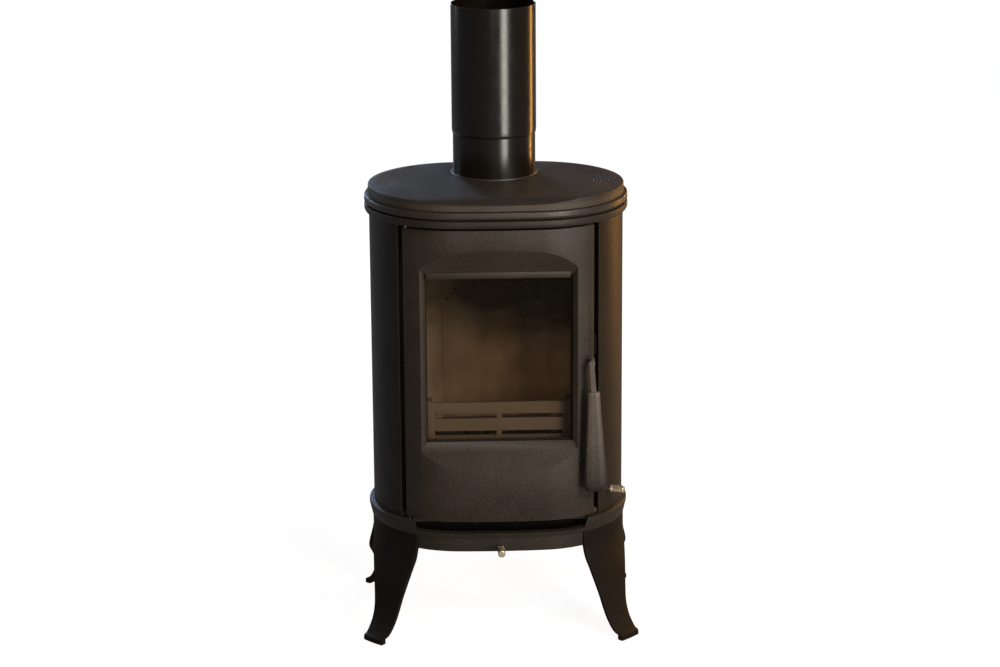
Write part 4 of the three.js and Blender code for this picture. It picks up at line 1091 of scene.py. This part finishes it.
# Knob turned about its rod: radius and distance along, with a groove near the root
KNOB_PROFILE = [
    (3.1, 0), (6.0, 0), (6.5, 0.6), (6.5, 3.2), (6.1, 3.7), (6.1, 4.6), (6.5, 5.1), (6.5, 23.8),
    (5.4, 25), (0, 25), (0, 9), (3.1, 9),
]
KNOB_ROUNDS = [0, 0.4, 0.4, 0.2, 0.2, 0.2, 0.2, 0.9, 1.0, 0, 0, 0]
KNOB_STANDOFF = 11.0


def knob(name, start, axis, body, node):
    profile = rounded(KNOB_PROFILE, KNOB_ROUNDS, 3)
    finished(lathe(name, profile, start, axis, 64), NICKEL, body, node)


knob("side_knob", side_air_point(KNOB_STANDOFF), SIDE_AIR_AXIS, "side_air", "side_air_knob")
knob("front_knob", (0, -HALF_DEPTH - KNOB_STANDOFF, FRONT_AIR_Z), FORWARDS,
     "front_air", "front_air_knob")
dressed("side_air_rod", RIM_STEEL, 0.3)
dressed("front_air_slide", RIM_STEEL, 0.3)
dressed("air_box", SHADE_IRON, 0.4)

# ---- Firebox ----

# Beads cast on the log guard beside its middle post
BEAD_SPANS = ((-113, -4.7), (4.7, 113))
BEAD_LEVELS = (374.2, 405.2)
BEAD_Y = -97.0
BEAD_RADIUS = 2.2
BEAD_TIP = 1.6
BEAD_CHAMFER = 0.8

dressed("bottom_plate", INSIDE_IRON, 0.8)
dressed("firebox_shell", INSIDE_IRON, 0.4, 1, 35)
dressed("front_frame", SHADE_IRON, 0.8)
dressed("hearth_plate", SOOT_IRON, 0.8)
dressed("grate", SOOT_IRON, 0.8)
dressed("log_guard", ASH_IRON, 1.0, 3)
for start, stop in BEAD_SPANS:
    length = stop - start
    for z in BEAD_LEVELS:
        bead = lathe("guard_bead", [
            (0, 0), (BEAD_TIP, 0), (BEAD_RADIUS, BEAD_CHAMFER),
            (BEAD_RADIUS, length - BEAD_CHAMFER), (BEAD_TIP, length), (0, length),
        ], (start, BEAD_Y, z), SIDEWAYS, 24)
        finished(bead, ASH_IRON, "stove")
dressed("ash_pan", PANEL, 0.3)
dressed("baffle", FIRE_BOARD, 1.5)
for name in ("right", "corner_right", "back", "corner_left", "left"):
    dressed(f"brick_{name}", FIRE_BOARD, 0.8)

# ---- Floor, light and camera ----

GLOSS_SHARE = 0.1           # how much of the white a gloss reflects
FLOOR_SIZE = 14
FLOOR_COLOR = (0.22, 0.22, 0.22, 1)
FLOOR_ROUGHNESS = 0.9
# The floor's glow by distance in metres: a little under white beside the stove
FLOOR_GLOW = (0.6, 2.6, 0.9, 1.0)
WHITE = (1, 1, 1, 1)
ROOM_COLOR = (1.0, 0.95, 0.9, 1)
ROOM_STRENGTH = 0.035


def seen_plainly(tree):
    """One for rays from the camera or through glass, GLOSS_SHARE for rays from a gloss."""
    path = tree.nodes.new("ShaderNodeLightPath")
    gloss = calculated(tree, "MULTIPLY", path.outputs["Is Glossy Ray"], GLOSS_SHARE)
    shown = calculated(tree, "MAXIMUM", path.outputs["Is Camera Ray"],
                       path.outputs["Is Transmission Ray"])
    return calculated(tree, "MAXIMUM", shown, gloss)


def studio_floor():
    """Pale floor, plain white to the camera where nothing shades it."""
    mesh = bpy.data.meshes.new("studio_floor")
    corners = [(-1, -1), (1, -1), (1, 1), (-1, 1)]
    mesh.from_pydata([(FLOOR_SIZE * x, FLOOR_SIZE * y, 0) for x, y in corners], [],
                     [(0, 1, 2, 3)])
    material, tree, shader = node_tree("floor_white")
    shader.inputs["Base Color"].default_value = FLOOR_COLOR
    shader.inputs["Roughness"].default_value = FLOOR_ROUGHNESS
    shader.inputs["Emission Color"].default_value = WHITE
    distance = tree.nodes.new("ShaderNodeVectorMath")
    distance.operation = "LENGTH"
    tree.links.new(coordinates(tree), distance.inputs[0])
    glow = mapped(tree, distance.outputs["Value"], *FLOOR_GLOW)
    strength = calculated(tree, "MULTIPLY", seen_plainly(tree), glow)
    tree.links.new(strength, shader.inputs["Emission Strength"])
    mesh.materials.append(material)
    linked("studio_floor", mesh)


def background(tree, color, strength):
    node = tree.nodes.new("ShaderNodeBackground")
    node.inputs["Color"].default_value = color
    node.inputs["Strength"].default_value = strength
    return node.outputs["Background"]


def studio_world():
    """Dim warm room that looks plain white to the camera."""
    world = bpy.data.worlds.new("studio")
    bpy.context.scene.world = world
    world.use_nodes = True
    tree = world.node_tree
    tree.nodes.clear()
    blend = tree.nodes.new("ShaderNodeMixShader")
    tree.links.new(seen_plainly(tree), blend.inputs["Fac"])
    tree.links.new(background(tree, ROOM_COLOR, ROOM_STRENGTH), blend.inputs[1])
    tree.links.new(background(tree, WHITE, 1.0), blend.inputs[2])
    out = tree.nodes.new("ShaderNodeOutputWorld")
    tree.links.new(blend.outputs["Shader"], out.inputs["Surface"])


def soft_light(name, spot, target, width, height, power, color):
    """Rectangular lamp, in metres and watts, turned to a target."""
    data = bpy.data.lights.new(name, "AREA")
    data.shape = "RECTANGLE"
    data.size = width
    data.size_y = height
    data.energy = power
    data.color = color
    lamp = linked(name, data)
    lamp.location = spot
    lamp.rotation_euler = (Vector(target) - Vector(spot)).to_track_quat("-Z", "Y").to_euler()


studio_floor()
studio_world()

# Points on the stove that the lamps are turned to, and the lamps' colours
LOW, MIDDLE, HIGH = (0, 0, 0.5), (0, 0, 0.6), (0, 0, 0.75)
WARM, DAYLIGHT, BLUE = (1.0, 0.94, 0.87), (0.86, 0.93, 1.0), (0.52, 0.7, 1.0)
SUNSET, AMBER_GLOW = (1.0, 0.55, 0.22), (1.0, 0.45, 0.09)

soft_light("key_right", (1.45, -1.75, 2.05), LOW, 0.9, 0.9, 39, (1.0, 0.92, 0.82))
soft_light("front_top", (1.5, -2.9, 2.9), LOW, 1.3, 1.0, 20, WARM)
soft_light("front_low", (-0.1, -4.0, 1.2), LOW, 1.0, 0.8, 11, WARM)
soft_light("cool_left", (-0.95, 3.1, 1.35), MIDDLE, 0.55, 1.2, 27, BLUE)
soft_light("warm_back", (1.4, 2.6, 1.2), HIGH, 0.5, 0.8, 18, SUNSET)
soft_light("warm_right", (1.9, 1.2, 0.7), LOW, 0.12, 1.3, 13.5, AMBER_GLOW)
soft_light("fill_left", (-2.6, 1.7, 1.4), LOW, 0.4, 1.4, 15, DAYLIGHT)
soft_light("strip", (1.35, -2.5, 0.6), MIDDLE, 0.75, 1.1, 34, (1.0, 0.94, 0.85))

# The photograph's camera: place in millimetres, angles in radians
CAMERA_SPOT = (-152.81, -4953.77, 1930.23)
CAMERA_PITCH = 0.2768
CAMERA_YAW = 0.032
CAMERA_ROLL = -0.007
SENSOR_WIDTH = 36
FOCAL_LENGTH = 104.02


def photo_camera():
    """Camera with the photograph's viewpoint, angles and focal length."""
    data = bpy.data.cameras.new("camera")
    data.sensor_width = SENSOR_WIDTH
    data.lens = FOCAL_LENGTH
    camera = bpy.data.objects.new("camera", data)
    pitch, yaw, roll = CAMERA_PITCH, CAMERA_YAW, CAMERA_ROLL
    forward = Vector((math.sin(yaw) * math.cos(pitch), math.cos(yaw) * math.cos(pitch),
                      -math.sin(pitch)))
    level = Vector((math.cos(yaw), -math.sin(yaw), 0))
    upward = level.cross(forward)
    right = level * math.cos(roll) + upward * math.sin(roll)
    top = upward * math.cos(roll) - level * math.sin(roll)
    matrix = camera.matrix_world.copy()
    for row in range(3):
        matrix[row][0] = right[row]
        matrix[row][1] = top[row]
        matrix[row][2] = -forward[row]
    matrix.translation = place(*CAMERA_SPOT)
    camera.matrix_world = matrix
    bpy.context.scene.collection.objects.link(camera)
    bpy.context.scene.camera = camera


photo_camera()
bpy.context.scene.view_settings.view_transform = "Standard"
